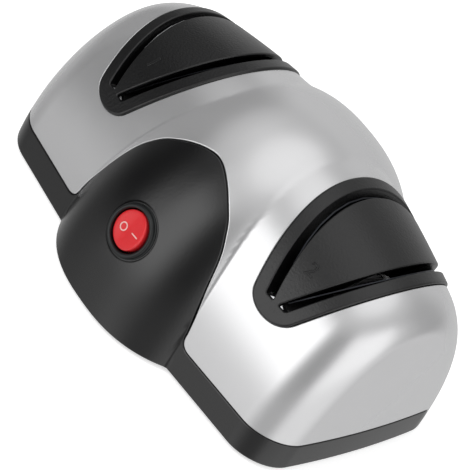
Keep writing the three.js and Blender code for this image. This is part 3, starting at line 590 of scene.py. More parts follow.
    def _loop(self, walk: list[int]) -> Loop:
        """An open edge with the direction that points off the material at each of its points.

        Args:
            walk: The numbers of its points, in order.

        Returns:
            The edge, named after the level that most of it follows.
        """
        points, normals = self.points[walk], self.normals[walk]
        nearest = self._height(self.uv[walk])[1]
        slopes = np.stack([self._slope(level, points, normals) for level in self.levels])
        slope = slopes[nearest, np.arange(len(walk))]
        outward = -slope / np.linalg.norm(slope, axis=-1, keepdims=True)
        name = self.levels[int(np.bincount(nearest).argmax())].name
        return Loop(name, points, normals, outward, walk)


@dataclass
class Row:
    """A ring of points with the normals that its faces show above it and below it."""

    points: Points
    above: Points
    below: Points | None = None

    def under(self) -> Points:
        """Normals for the faces that follow."""
        return self.above if self.below is None else self.below


class Shell:
    """Collects faces with their own smooth normals, and turns them into one closed mesh."""

    def __init__(self) -> None:
        """Starts empty."""
        self.points: list[Points] = []
        self.count = 0
        self.faces: list[tuple[int, ...]] = []
        self.normals: list[Points] = []

    def add_points(self, points: Points) -> list[int]:
        """Adds points.

        Args:
            points: The points.

        Returns:
            Their numbers.
        """
        self.points.append(points)
        self.count += len(points)
        return list(range(self.count - len(points), self.count))

    def add_face(self, corners: Sequence[int], normals: Sequence[Points]) -> None:
        """Adds a face with a normal for each corner."""
        self.faces.append(tuple(corners))
        self.normals.extend(normals)

    def add_flat(self, corners: Sequence[int], middle: Points) -> None:
        """Adds a flat face that looks away from a point inside.

        Args:
            corners: The numbers of its points.
            middle: The point inside.
        """
        place = np.vstack(self.points)[list(corners)]
        normal = np.cross(place[1] - place[0], place[2] - place[0])
        normal = normal / np.linalg.norm(normal)
        if (place.mean(axis=0) - middle) @ normal < 0:
            corners, normal = corners[::-1], -normal
        self.add_face(corners, (normal,) * len(corners))

    def add_skin(self, skin: CutSkin, inwards: bool = False) -> list[int]:
        """Adds a cut surface.

        Args:
            skin: The surface.
            inwards: Turns it over, as the inner side of a wall.

        Returns:
            The numbers of its points.
        """
        numbers = self.add_points(skin.points)
        sign = -1 if inwards else 1
        for face in skin.faces:
            corners = face[::sign]
            self.add_face([numbers[i] for i in corners], [sign * skin.normals[i] for i in corners])
        return numbers

    def strip(self, upper: list[int], above: Points, lower: list[int], below: Points) -> None:
        """Joins two rings with the same number of points.

        Args:
            upper: The points of one ring.
            above: The normals there.
            lower: The points of the other ring.
            below: The normals there.
        """
        count = len(upper)
        for i in range(count):
            j = (i + 1) % count
            self.add_face((upper[j], upper[i], lower[i], lower[j]), (above[j], above[i], below[i], below[j]))

    def rows(self, first: list[int], start: Points, rows: Iterable[Row]) -> tuple[list[int], Points]:
        """Adds a run of rings below a first one.

        Args:
            first: The points of the first ring.
            start: The normals there.
            rows: The rings.

        Returns:
            The points of the last ring and its lower normals.
        """
        upper, above = first, start
        for row in rows:
            lower = self.add_points(row.points)
            self.strip(upper, above, lower, row.above)
            upper, above = lower, row.under()
        return upper, above

    def bridge(self, upper: list[int], lower: list[int]) -> None:
        """Joins two rings that run the same way with different numbers of points.

        Args:
            upper: The points of one ring.
            lower: The points of the other ring.
        """
        place = np.vstack(self.points)
        a, b = place[upper], place[lower]
        shift = int(np.linalg.norm(b - a[0], axis=1).argmin())
        lower = lower[shift:] + lower[:shift]
        b = np.roll(b, -shift, axis=0)
        i = j = 0
        while i < len(a) or j < len(b):
            step_a = np.linalg.norm(a[(i + 1) % len(a)] - b[j % len(b)]) if i < len(a) else math.inf
            step_b = np.linalg.norm(a[i % len(a)] - b[(j + 1) % len(b)]) if j < len(b) else math.inf
            if step_a <= step_b:
                corners = (upper[(i + 1) % len(a)], upper[i % len(a)], lower[j % len(b)])
                i += 1
            else:
                corners = (upper[i % len(a)], lower[j % len(b)], lower[(j + 1) % len(b)])
                j += 1
            p, q, r = (place[c] for c in corners)
            normal = np.cross(q - p, r - p)
            normal = normal / max(np.linalg.norm(normal), 1e-9)
            self.add_face(corners, (normal,) * 3)

    def build(self, name: str) -> bpy.types.Object:
        """Makes the mesh object, in metres and lifted onto the feet.

        Args:
            name: Name of the piece.

        Returns:
            The piece.
        """
        place = (np.vstack(self.points) + np.array([0, 0, STAND])) * MM
        mesh = bpy.data.meshes.new(name)
        mesh.from_pydata(place.tolist(), [], self.faces)
        mesh.update()
        mesh.polygons.foreach_set("use_smooth", [True] * len(mesh.polygons))
        mesh.normals_split_custom_set([tuple(normal) for normal in self.normals])
        piece = bpy.data.objects.new(name, mesh)
        bpy.context.scene.collection.objects.link(piece)
        return piece


def rounded_rows(loop: Loop, radius: float, steps: int = 4) -> list[Row]:
    """Rings of a quarter round from a surface over its edge.

    Args:
        loop: The edge of the surface.
        radius: Radius of the rounding.
        steps: Number of rings.

    Returns:
        The rings. The last one shows the side of the wall.
    """
    rows = []
    for step in range(1, steps + 1):
        turn = QUARTER * step / steps
        out = radius * math.sin(turn) * loop.outward - radius * (1 - math.cos(turn)) * loop.normals
        rows.append(Row(loop.points + out, math.cos(turn) * loop.normals + math.sin(turn) * loop.outward))
    return rows


def stations(span: int, turn: int, face: int, crease: int = 0) -> Points:
    """Grid stations along the whole length.

    Args:
        span: Number of stations from the middle to where the end turns in.
        turn: Number of stations round that turn.
        face: Number of stations down the end's face, which closes below the base, where it is cut off.
        crease: Number of closer stations where the crease between the dome and a wing can lie.

    Returns:
        The stations.
    """
    last = 2.97
    parts = np.linspace(0, 1, span), np.linspace(1, 2, turn)[1:], np.linspace(2, last, face)[1:]
    half = np.concatenate(parts)
    if crease:
        start, end, gap = 0.42, 0.71, 0.002
        half = np.concatenate([half[half < start], np.linspace(start, end, crease), half[half > end + gap]])
    return np.concatenate([-half[::-1], half[1:]])


def arch_stations(count: int) -> Points:
    """Grid stations over the whole arch, closer together near the base.

    Args:
        count: Number of stations between the closer ones.

    Returns:
        The stations, with a short leg below the base at each end.
    """
    leg = [-0.8, -0.4, -0.1]
    foot = np.concatenate([leg, np.arange(0, 0.031, 0.003)])
    start = 0.034
    middle = np.linspace(start, 1 - start, count)
    return np.concatenate([foot, middle, (1 - foot)[::-1]])


def wall_grid() -> tuple[Points, Points]:
    """The coarser grid of a wall's inner side."""
    return stations(span=34, turn=9, face=16), arch_stations(80)


# Mouldings of the casing


def between(shell: Shell, outer: CutSkin, inner: CutSkin, finish_edge: Callable[[Loop], list[Row]]) -> None:
    """Joins each edge of an outer surface with the edge of the same name on the inner surface.

    Args:
        shell: Takes the faces.
        outer: The outer surface.
        inner: The inner side of the wall.
        finish_edge: Gives the rings that finish an edge.
    """
    outer_numbers = shell.add_skin(outer)
    inner_numbers = shell.add_skin(inner, inwards=True)
    inner_loops = {loop.name: loop for loop in inner.loops}
    for loop in outer.loops:
        ring = [outer_numbers[i] for i in loop.indices]
        rows = finish_edge(loop)
        ring, _ = shell.rows(ring, loop.normals, rows)
        if loop.name in inner_loops:
            shell.bridge(ring, [inner_numbers[i] for i in inner_loops[loop.name].indices])


def rounded_box(over_x: Points, over_z: Points, corner: float) -> Points:
    """Distance outside a rectangle with rounded corners.

    Args:
        over_x: How far each point lies beyond the corners' centres, to a side.
        over_z: How far it lies beyond them, up or down.
        corner: Radius of the corners.

    Returns:
        One distance for each point, negative inside.
    """
    away = np.hypot(np.maximum(over_x, 0), np.maximum(over_z, 0))
    return away + np.minimum(np.maximum(over_x, over_z), 0) - corner


@dataclass
class UpperShell:
    """Silver moulding with openings for the slot inserts and the mains inlet."""

    form: CasingForm
    seams: Seams
    wall: float = 2.2
    rounding: float = 0.45

    def levels(self, rounding: float) -> list[Level]:
        """The moulding's edges, a seam's width off what they meet.

        Args:
            rounding: How far the edges are rounded.

        Returns:
            The edges along the housing, round each insert and round the inlet.
        """
        seams = self.seams
        housing, insert = seams.housing(), seams.insert()
        half_x, half_z = (half + seams.gap - seams.inlet_corner for half in seams.inlet_half)

        def around(stage: Stage) -> Depth:
            """Outside one slot insert."""
            return lambda p: -insert.depth(p[:, 0] - stage.value * seams.stage_x, p[:, 2]) - seams.gap

        def inlet(p: Points) -> Points:
            """Outside the inlet's flange."""
            over_x, over_z = np.abs(p[:, 0]) - half_x, np.abs(p[:, 2] - seams.inlet_height) - half_z
            return np.where(p[:, 1] > 0, rounded_box(over_x, over_z, seams.inlet_corner), FAR)

        return [
            Level("lower", lambda p: -housing(p) - seams.gap, rounding),
            Level("insert_left", around(Stage.COARSE), rounding),
            Level("insert_right", around(Stage.FINE), rounding),
            Level("inlet", inlet, rounding),
        ]

    def build(self) -> bpy.types.Object:
        """Makes the moulding.

        Returns:
            The piece.
        """
        grid = stations(span=62, turn=18, face=32, crease=44), arch_stations(150)
        outer = CutSkin(self.form, *grid, 0, self.levels(self.rounding))
        inner = CutSkin(self.form, *wall_grid(), -self.wall, self.levels(0))
        shell = Shell()
        between(shell, outer, inner, lambda loop: rounded_rows(loop, self.rounding))
        return shell.build("silver_shell")

    def dress(self) -> None:
        """Makes the moulding and gives it its finish."""
        dress(self.build(), SILVER, "silver_shell", "casing", "upper_shell")


@dataclass(frozen=True)
class SwitchPlace:
    """Where the switch sits on the panel: its seat plane and directions."""

    form: CasingForm
    height: float = 33.6
    sunk: float = 0.8  # the seat lies this far inside the dome

    def frame(self) -> tuple[Points, Points, Points]:
        """The switch's own axes.

        Returns:
            Middle of the seat, the outward normal, and the direction up the panel.
        """
        form = self.form
        share = self.height / form.dome_height
        depth = form.dome_half_depth * (1 - share**form.dome_power) ** (1 / form.dome_power)
        slope_y = (depth / form.dome_half_depth) ** (form.dome_power - 1) / form.dome_half_depth
        slope_z = share ** (form.dome_power - 1) / form.dome_height
        normal = np.array([0, -slope_y, slope_z]) / math.hypot(slope_y, slope_z)
        middle = np.array([0, -depth, self.height]) - self.sunk * normal
        return middle, normal, np.cross(normal, [1, 0, 0])

    def matrix(self) -> Matrix:
        """Turns a piece that is made round the Z axis, in metres, to the switch's place.

        Returns:
            The matrix.
        """
        middle, normal, up = self.frame()
        turn = Matrix((Vector((1, 0, 0)), Vector(up), Vector(normal))).transposed().to_4x4()
        return Matrix.Translation(Vector(middle + np.array([0, 0, STAND])) * MM) @ turn


@dataclass
class LowerHousing:
    """Black moulding: a band round the base and a bell-shaped panel with a round land for the switch."""

    form: CasingForm
    seams: Seams
    place: SwitchPlace
    wall: float = 2.2
    rounding: float = 0.45
    base_rounding: float = 1.0
    land: float = 10.75
    land_skirt: float = 11.15
    land_rings: tuple = (
        (0.3, 0.03, 70), (0.15, 0.16, 45), (0.05, 0.45, 15), (0.0, 0.72, 15), (-0.12, 0.92, 45),
        (-0.4, 1, 85),
    )  # beyond the land's radius, share of the way from panel to land, and lean of the surface in degrees
    hole: float = 9.8
    land_depth: float = 3.4

    def levels(self, rounding: float, base_rounding: float, land: float) -> list[Level]:
        """The moulding's edges.

        Args:
            rounding: How far the edge along the silver shell is rounded.
            base_rounding: How far the lower edge is rounded.
            land: Radius at which the skin stops round the switch.

        Returns:
            The edges along the silver shell, at the base and round the switch.
        """
        middle, normal, _ = self.place.frame()

        def switch(p: Points) -> Points:
            """How far outside the land points lie.

            Args:
                p: The points.

            Returns:
                One distance for each point.
            """
            away = p - middle
            radius = np.linalg.norm(away - (away @ normal)[:, None] * normal, axis=-1)
            return np.where(p[:, 1] < 0, radius - land, FAR)

        return [
            Level("top", self.seams.housing(), rounding),
            Level("base", lambda p: p[:, 2].copy(), base_rounding),
            Level("switch", switch),
        ]

    def land_rows(self, loop: Loop) -> list[Row]:
        """Rings from the panel up to the flat land, over it, and down the hole.

        Args:
            loop: The skin's edge round the switch.

        Returns:
            The rings.
        """
        middle, normal, _ = self.place.frame()
        away = loop.points - middle
        rise = (away @ normal)[:, None]
        radial = away - rise * normal
        radial = radial / np.linalg.norm(radial, axis=-1, keepdims=True)
        rows = []
        for out, share, lean in self.land_rings:
            ring = middle + (self.land + out) * radial + rise * (1 - share) * normal
            turn = math.radians(lean)
            rows.append(Row(ring, math.cos(turn) * radial + math.sin(turn) * normal))
        flat = np.tile(normal, (len(radial), 1))
        rows.append(Row(middle + self.hole * radial, flat, -radial))
        rows.append(Row(middle + self.hole * radial - self.land_depth * normal, -radial, -flat))
        rows.append(Row(middle + self.land * radial - self.land_depth * normal, -flat, radial))
        return rows

    def build(self) -> bpy.types.Object:
        """Makes the moulding.

        Returns:
            The piece.
        """
        grid = stations(span=70, turn=20, face=34), arch_stations(160)
        outer_levels = self.levels(self.rounding, self.base_rounding, self.land_skirt)
        outer = CutSkin(self.form, *grid, 0, outer_levels)
        inner = CutSkin(self.form, *wall_grid(), -self.wall, self.levels(0, 0, self.land))

        def edge(loop: Loop) -> list[Row]:
            """The right finish for an edge.

            Args:
                loop: The edge.

            Returns:
                The rings that finish it.
            """
            if loop.name == "switch":
                return self.land_rows(loop)
            return rounded_rows(loop, self.base_rounding if loop.name == "base" else self.rounding)

        shell = Shell()
        between(shell, outer, inner, edge)
        return shell.build("black_housing")

    def dress(self) -> None:
        """Makes the moulding and gives it its finish."""
        dress(self.build(), BLACK, "black_housing", "casing", "lower_housing")


@dataclass
class SlotInsert:
    """Black textured piece with two knife slots, standing a little proud of the silver shell."""

    form: CasingForm
    seams: Seams
    slots: Slots
    stage: Stage
    wall: float = 2.6
    rise: float = 0.8
    edge_rounding: float = 0.8
    slot_rounding: float = 0.55
    slot_end: float = 0.3  # a slot leaves the skin this far above the depth of a blade's edge
    channel: float = 0.6
    window_half: float = 15.3  # the slot is open to the hollow between the slots over this half length
    window_lip: float = 0.9  # over its window a slot's wall is shorter by this than the skin is thick
    window_lip_inside: float = 0.05
    foot_drop: float = 0.1  # elsewhere the wall ends this far below the depth of a blade's edge
    foot_drop_inside: float = 0.3
    floor_reach: float = 38.0  # how far from the middle a slot's end is looked for
    floor_end: float = 1.2  # a slot's floor stops this far from the skin at its end
    floor_thickness: float = 0.7
    outer_step: float = 0.8
    inner_step: float = 1.3
    u_range: tuple = (0.355, 1.5)
    v_range: tuple = (0.13, 0.87)
    lengths: tuple = (70.4, 22, 190)  # of the wing's straight part, its turned end and its arch, roughly

    def levels(self, edge: float, lip: float, margin: float) -> list[Level]:
        """The insert's own edge and the edges of its two slots.

        Args:
            edge: How far the insert's edge is rounded.
            lip: How far the slots' edges are rounded.
            margin: How much wider than the slots the openings are.

        Returns:
            The three edges.
        """
        outline, middle = self.seams.insert(), self.stage.value * self.seams.stage_x
        slots = self.slots
        corner = slots.corner + margin

        def slot(place: Place) -> Depth:
            """The edge round one slot.

            Args:
                place: Which slot.

            Returns:
                How far outside the slot's rounded outline each point lies.
            """
            origin, across, _ = slots.frame(self.stage, place, self.seams)

            half = slots.half_width + margin - corner
            low = slots.edge_height + self.slot_end - margin + corner

            def depth(p: Points) -> Points:
                """Outside the slot's rounded outline."""
                return rounded_box(np.abs((p - origin) @ across) - half, low - p[:, 2], corner)

            return depth

        return [
            Level("edge", lambda p: outline.depth(p[:, 0] - middle, p[:, 2]), edge),
            Level("slot_inner", slot(Place.INNER), lip),
            Level("slot_outer", slot(Place.OUTER), lip),
        ]

    def grid(self, step: float) -> tuple[Points, Points]:
        """Grid stations over the insert's part of the wing.

        Args:
            step: About how far apart the stations lie.

        Returns:
            Stations along the length and over the arch.
        """
        first, last = self.u_range
        straight, turn, arch = self.lengths
        u = np.concatenate([np.arange(first, 1, step / straight), np.arange(1, last, step / turn)])
        return np.sort(self.stage.value * u), np.arange(*self.v_range, step / arch)

    def curtain(self, loop: Loop, start: Points, foot_drop: float, lip: float) -> tuple[Points, Points]:
        """A straight wall from a ring down the slot's own plane, short where the window is.

        Args:
            loop: The slot's edge, which gives the wall its directions.
            start: The ring to start from.
            foot_drop: How far below the depth of a blade's edge the wall ends.
            lip: Length of the wall over the window.

        Returns:
            The ring at the wall's foot, and the wall's normals.
        """
        origin, across, down = self.slots.frame(self.stage, self.place_of(loop), self.seams)
        normals = loop.outward - (loop.outward @ down)[:, None] * down
        normals = normals / np.linalg.norm(normals, axis=-1, keepdims=True)
        length = (start[:, 2] - (self.slots.edge_height - foot_drop)) / -down[2]
        window = ((start - origin) @ across < 0) & (np.abs(start[:, 1]) < self.window_half)
        return start + np.where(window, lip, length)[:, None] * down, normals

    def place_of(self, loop: Loop) -> Place:
        """Which slot an edge goes round."""
        return Place.INNER if loop.name == "slot_inner" else Place.OUTER

    def floor(self, shell: Shell, place: Place, end: int) -> None:
        """The floor at one end of a slot, a plate that closes it in front of or behind the window.

        Args:
            shell: Takes the faces.
            place: Which slot.
            end: -1 for the front end and 1 for the rear one.
        """
        origin, across, down = self.slots.frame(self.stage, place, self.seams)
        u, v = nearest(self.form, origin + np.array([0, end * self.floor_reach, 0]))
        far = float(self.form.place(u, v)[1]) - end * self.floor_end
        half = self.slots.half_width + self.channel / 2
        rings = []
        for y in sorted((end * self.window_half, far)):
            base = origin + np.array([0, y, 0])
            low = base + self.floor_thickness * down
            ring = [base - half * across, base + half * across, low + half * across, low - half * across]
            rings.append(np.stack(ring))
        one, other = (shell.add_points(ring) for ring in rings)
        middle = (rings[0].mean(axis=0) + rings[1].mean(axis=0)) / 2
        sides = [[one[i], one[(i + 1) % 4], other[(i + 1) % 4], other[i]] for i in range(4)]
        for corners in [*sides, one[::-1], other]:
            shell.add_flat(corners, middle)

    def slot_wall(
        self, shell: Shell, loop: Loop, ring: list[int], under: Loop, under_ring: list[int]
    ) -> None:
        """The wall round a slot, open to the hollow at its window, with a floor at each end.

        Args:
            shell: Takes the faces.
            loop: The slot's edge in the outer skin.
            ring: The numbers of its points.
            under: The slot's edge in the inner skin.
            under_ring: The numbers of its points.
        """
        lip = rounded_rows(loop, self.slot_rounding)
        foot, normals = self.curtain(loop, lip[-1].points, self.foot_drop, self.wall - self.window_lip)
        rows = [*lip[:-1], replace(lip[-1], below=normals), Row(foot, normals)]
        ring, _ = shell.rows(ring, loop.normals, rows)
        foot, normals = self.curtain(under, under.points, self.foot_drop_inside, self.window_lip_inside)
        lower = shell.add_points(foot)
        shell.strip(lower, -normals, under_ring, -normals)
        shell.bridge(ring, lower)
        for end in (-1, 1):
            self.floor(shell, self.place_of(loop), end)

    def build(self) -> bpy.types.Object:
        """Makes the insert with its walled slots.

        Returns:
            The piece.
        """
        outer_levels = self.levels(self.edge_rounding, self.slot_rounding, 0)
        outer = CutSkin(self.form, *self.grid(self.outer_step), self.rise, outer_levels)
        inner_levels = self.levels(0, 0, self.channel)
        inner = CutSkin(self.form, *self.grid(self.inner_step), self.rise - self.wall, inner_levels)
        shell = Shell()
        outer_numbers = shell.add_skin(outer)
        inner_numbers = shell.add_skin(inner, inwards=True)
        below = {loop.name: loop for loop in inner.loops}
        for loop in outer.loops:
            under = below[loop.name]
            ring = [outer_numbers[i] for i in loop.indices]
            under_ring = [inner_numbers[i] for i in under.indices]
            if loop.name == "edge":
                ring, _ = shell.rows(ring, loop.normals, rounded_rows(loop, self.edge_rounding))
                shell.bridge(ring, under_ring)
            else:
                self.slot_wall(shell, loop, ring, under, under_ring)
        return shell.build(f"insert_{word(self.stage)}")

    def dress(self) -> None:
        """Makes the insert and gives it its finish."""
        dress(self.build(), TEXTURED, "black_insert", "casing", f"slot_insert_{word(self.stage)}")


def nearest(form: CasingForm, point: Points) -> tuple[Points, Points]:
    """The casing's stations at the place nearest to a point of a wing, found by a grid that closes in on it.

    Args:
        form: The casing's form.
        point: The point.

    Returns:
        The stations along the length and over the arch.
    """
    u, v, reach = 0.6 * np.sign(point[0]), 0.5, 0.4
    rounds, shrink, shares = 8, 4, np.linspace(-1, 1, 21)
    for _ in range(rounds):
        grid_u, grid_v = np.meshgrid(u + reach * shares, v + reach * shares)
        gap = np.linalg.norm(form.place(grid_u, np.clip(grid_v, 0, 1)) - point, axis=-1)
        best = np.unravel_index(gap.argmin(), gap.shape)
        u, v, reach = grid_u[best], min(max(grid_v[best], 0), 1), reach / shrink
    return np.array(u), np.array(v)


# Pieces made by hand


def only(piece: bpy.types.Object) -> None:
    """Selects one piece and nothing else.

    Args:
        piece: The piece.
    """
    bpy.ops.object.select_all(action="DESELECT")
    piece.select_set(True)
    bpy.context.view_layer.objects.active = piece


def primitive(name: str, add: Callable[..., object], **sizes: object) -> bpy.types.Object:
    """Adds a primitive with nothing else selected.

    Args:
        name: Name of the piece.
        add: The operator that adds it.
        **sizes: What the operator is given.

    Returns:
        The piece.
    """
    bpy.ops.object.select_all(action="DESELECT")
    add(**sizes)
    piece = bpy.context.object
    piece.name = name
    return piece


@contextmanager
def editing() -> Iterator[None]:
    """Edit mode on the active piece, with all of it selected.

    Returns:
        The context of a with statement.
    """
    bpy.ops.object.mode_set(mode="EDIT")
    bpy.ops.mesh.select_all(action="SELECT")
    yield
    bpy.ops.object.mode_set(mode="OBJECT")


def smooth(piece: bpy.types.Object, angle: float = 38.0) -> bpy.types.Object:
    """Shades a piece smooth except over sharp edges.

    Args:
        piece: The piece.
        angle: Degrees from which an edge counts as sharp.

    Returns:
        The piece.
    """
    only(piece)
    bpy.ops.object.shade_smooth_by_angle(angle=math.radians(angle))
    return piece


def turned(name: str, profile: Sequence[tuple[float, float]], sides: int = 96) -> bpy.types.Object:
    """A round piece drawn out ring by ring from a disc, as on a lathe.

    Args:
        name: Name of the piece.
        profile: Radius and height of each ring, from the lower cap to the upper one.
        sides: Points round each ring.

    Returns:
        The piece, about the Z axis.
    """
    radius, height = profile[0]
    add = bpy.ops.mesh.primitive_circle_add
    piece = primitive(name, add, vertices=sides, radius=radius * MM, fill_type="NGON")
    with editing():
        bpy.ops.transform.translate(value=(0, 0, height * MM))
        for wide, high in profile[1:]:
            bpy.ops.mesh.extrude_region_move(TRANSFORM_OT_translate={"value": (0, 0, (high - height) * MM)})
            share = wide / radius
            bpy.ops.transform.resize(value=(share, share, 1), center_override=(0, 0, high * MM))
            radius, height = wide, high
        bpy.ops.mesh.select_all(action="SELECT")
        bpy.ops.mesh.normals_make_consistent(inside=False)
    return smooth(piece)


def copy_of(node: str, name: str) -> bpy.types.Object:
    """A free copy of a CAD node, its loose triangles joined into whole faces.

    Args:
        node: Name of the node.
        name: Name of the copy.

    Returns:
        The copy.
    """
    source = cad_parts[node]
    piece = bpy.data.objects.new(name, source.data.copy())
    piece.data.transform(source.matrix_world)
    bpy.context.scene.collection.objects.link(piece)
    only(piece)
    bpy.ops.mesh.customdata_custom_splitnormals_clear()
    with editing():
        bpy.ops.mesh.remove_doubles(threshold=0.001 * MM)
        bpy.ops.mesh.dissolve_limited(angle_limit=math.radians(0.5))
    return piece


def with_rounded_edges(piece: bpy.types.Object, width: float, angle: float = 35.0) -> bpy.types.Object:
    """Rounds a piece's sharp edges, as a mould or a tumbler leaves them.

    Args:
        piece: The piece.
        width: How far the rounding reaches from an edge.
        angle: Degrees from which an edge is rounded.

    Returns:
        The piece.
    """
    only(piece)
    bevel = piece.modifiers.new("edges", "BEVEL")
    bevel.width = width * MM
    bevel.segments = 3
    bevel.limit_method = "ANGLE"
    bevel.angle_limit = math.radians(angle)
    bpy.ops.object.modifier_apply(modifier=bevel.name)
    return smooth(piece)


def placed(piece: bpy.types.Object, matrix: Matrix) -> bpy.types.Object:
    """Moves a piece's mesh to its place and leaves its object at the origin.

    Args:
        piece: The piece.
        matrix: Where it goes.

    Returns:
        The piece.
    """
    piece.data.transform(matrix @ piece.matrix_basis)
    piece.matrix_basis = Matrix()
    piece.data.update()
    return piece


def facing(place: Points, normal: Points, up: Points) -> Matrix:
    """A matrix that sets a flat piece on a surface, in metres.

    Args:
        place: Where the piece's middle goes, in millimetres above the casing's base.
        normal: Outward normal there.
        up: The direction that the piece's Y axis follows as near as it can.

    Returns:
        The matrix.
    """
    upright = up - (up @ normal) * normal
    upright = upright / np.linalg.norm(upright)
    turn = Matrix((Vector(np.cross(upright, normal)), Vector(upright), Vector(normal))).transposed()
    return Matrix.Translation(Vector(place + np.array([0, 0, STAND])) * MM) @ turn.to_4x4()


@dataclass
class RockerSwitch:
    """Round rocker switch: a bezel with a stepped flange, and a red rocker tipped to its O side."""

    place: SwitchPlace
    bezel_profile: tuple = (
        (9.1, -14.0), (9.5, -13.6), (9.5, 0.0), (10.15, 0.0), (10.15, 0.3), (10.08, 0.45), (9.9, 0.5),
        (9.82, 0.65), (9.78, 1.1), (9.7, 1.5), (9.48, 1.82), (9.2, 1.97), (8.95, 2.0), (8.55, 1.98),
        (8.3, 1.88), (8.16, 1.7), (8.1, 1.45), (8.1, -6.8), (7.9, -7.0),
    )
    rocker_radius: float = 7.45
    rocker_wall: tuple = ((5.9, -3.6), (6.2, -3.5), (7.1, -0.8), (7.45, 0.2))
    rocker_rim: tuple = ((7.45, -0.75), (7.42, -0.5), (7.33, -0.28), (7.18, -0.12), (6.98, -0.03), (6.7, 0.0))
    face_radii: tuple = (6.0, 5.3, 4.6, 3.9, 3.2, 2.5, 1.8, 1.1, 0.5)
    face_blank: float = 5.0  # the face is turned flat at this height, and then bent
    face_from: float = 2.0  # what is turned above this height belongs to the face
    crown: float = 2.3
    valley: float = 1.3
    valley_round: float = 1.4
    pivot_drop: float = 1.0
    throw: float = 9.0
    mark_radius: float = 0.25
    mark_flatness: float = 0.7
    mark_lift: float = 0.02
    mark_sides: int = 12
    ring_place: tuple = (-2.85, -0.95)
    ring_radius: float = 1.46
    ring_sides: int = 64
    bar_start: tuple = (1.75, 0.1)
    bar_end: tuple = (5.64, 0.72)
    bar_sides: int = 16

    def bezel(self) -> bpy.types.Object:
        """The fixed body with its bezel and the well that the rocker sits in."""
        return placed(turned("switch_bezel", self.bezel_profile), self.place.matrix())

    def tipped(self) -> Matrix:
        """From the rocker's own axes about its pins to its resting place."""
        turn = Matrix.Rotation(-math.radians(self.throw), 4, "Y")
        return self.place.matrix() @ Matrix.Translation((0, 0, -self.pivot_drop * MM)) @ turn

    def top(self, x: float) -> float:
        """Height of the rocker's face above its pins: two slopes with a soft valley."""
        slope = (self.crown - self.valley) / self.rocker_radius
        return self.pivot_drop + self.valley + slope * (math.hypot(x, self.valley_round) - self.valley_round)

    def rocker(self) -> bpy.types.Object:
        """The red rocker, turned with a flat face that is then bent to the two slopes.

        Returns:
            The piece.
        """
        rim = [(radius, self.face_blank + drop) for radius, drop in self.rocker_rim]
        face = [(radius, self.face_blank) for radius in self.face_radii]
        piece = turned("red_rocker", [*self.rocker_wall, *rim, *face])
        for vertex in piece.data.vertices:
            if vertex.co.z > self.face_from * MM:
                vertex.co.z += (self.top(vertex.co.x / MM) - self.face_blank) * MM
        return placed(smooth(piece, CURVED), self.tipped())

    def laid(self, piece: bpy.types.Object) -> bpy.types.Object:
        """Lays a mark that was made flat onto the rocker's face.

        Args:
            piece: The mark.

        Returns:
            The mark.
        """
        for vertex in piece.data.vertices:
            surface = (self.top(vertex.co.x / MM) + self.mark_lift) * MM
            vertex.co.z = vertex.co.z * self.mark_flatness + surface
        return placed(smooth(piece, CURVED), self.tipped())

    def ring_mark(self) -> bpy.types.Object:
        """The raised ring on the side that is pressed for off.

        Returns:
            The mark.
        """
        radii = {"major_radius": self.ring_radius * MM, "minor_radius": self.mark_radius * MM}
        sides = {"major_segments": self.ring_sides, "minor_segments": self.mark_sides}
        piece = primitive("rocker_mark_off", bpy.ops.mesh.primitive_torus_add, **sides, **radii)
        piece.data.transform(Matrix.Translation((*mm(*self.ring_place), 0)))
        return self.laid(piece)

    def bar_mark(self) -> bpy.types.Object:
        """The raised bar on the side that is pressed for on: a ball that is cut in two and drawn out.

        Returns:
            The mark.
        """
        sides = {"segments": self.bar_sides, "ring_count": self.mark_sides}
        add = bpy.ops.mesh.primitive_uv_sphere_add
        piece = primitive("rocker_mark_on", add, **sides, radius=self.mark_radius * MM)
        start, end = Vector((*self.bar_start, 0)), Vector((*self.bar_end, 0))
        half = (end - start).length / 2
        with editing():
            bpy.ops.mesh.bisect(plane_co=(0, 0, 0), plane_no=(1, 0, 0))
        for vertex in piece.data.vertices:
            vertex.co.x += math.copysign((half - self.mark_radius) * MM, vertex.co.x + 1e-9)
        turn = Matrix.Rotation(math.atan2(end.y - start.y, end.x - start.x), 4, "Z")
        piece.data.transform(Matrix.Translation((start + end) / 2 * MM) @ turn)
        return self.laid(piece)

    def build(self) -> None:
        """Makes and dresses the switch."""
        dress(self.bezel(), BEZEL, "black_housing", "casing", "switch_housing")
        dress(self.rocker(), ROCKER_RED, "red_rocker", "rocker", "switch_rocker")
        for mark in (self.ring_mark(), self.bar_mark()):
            dress(mark, MARK_INK, "red_rocker", "rocker")


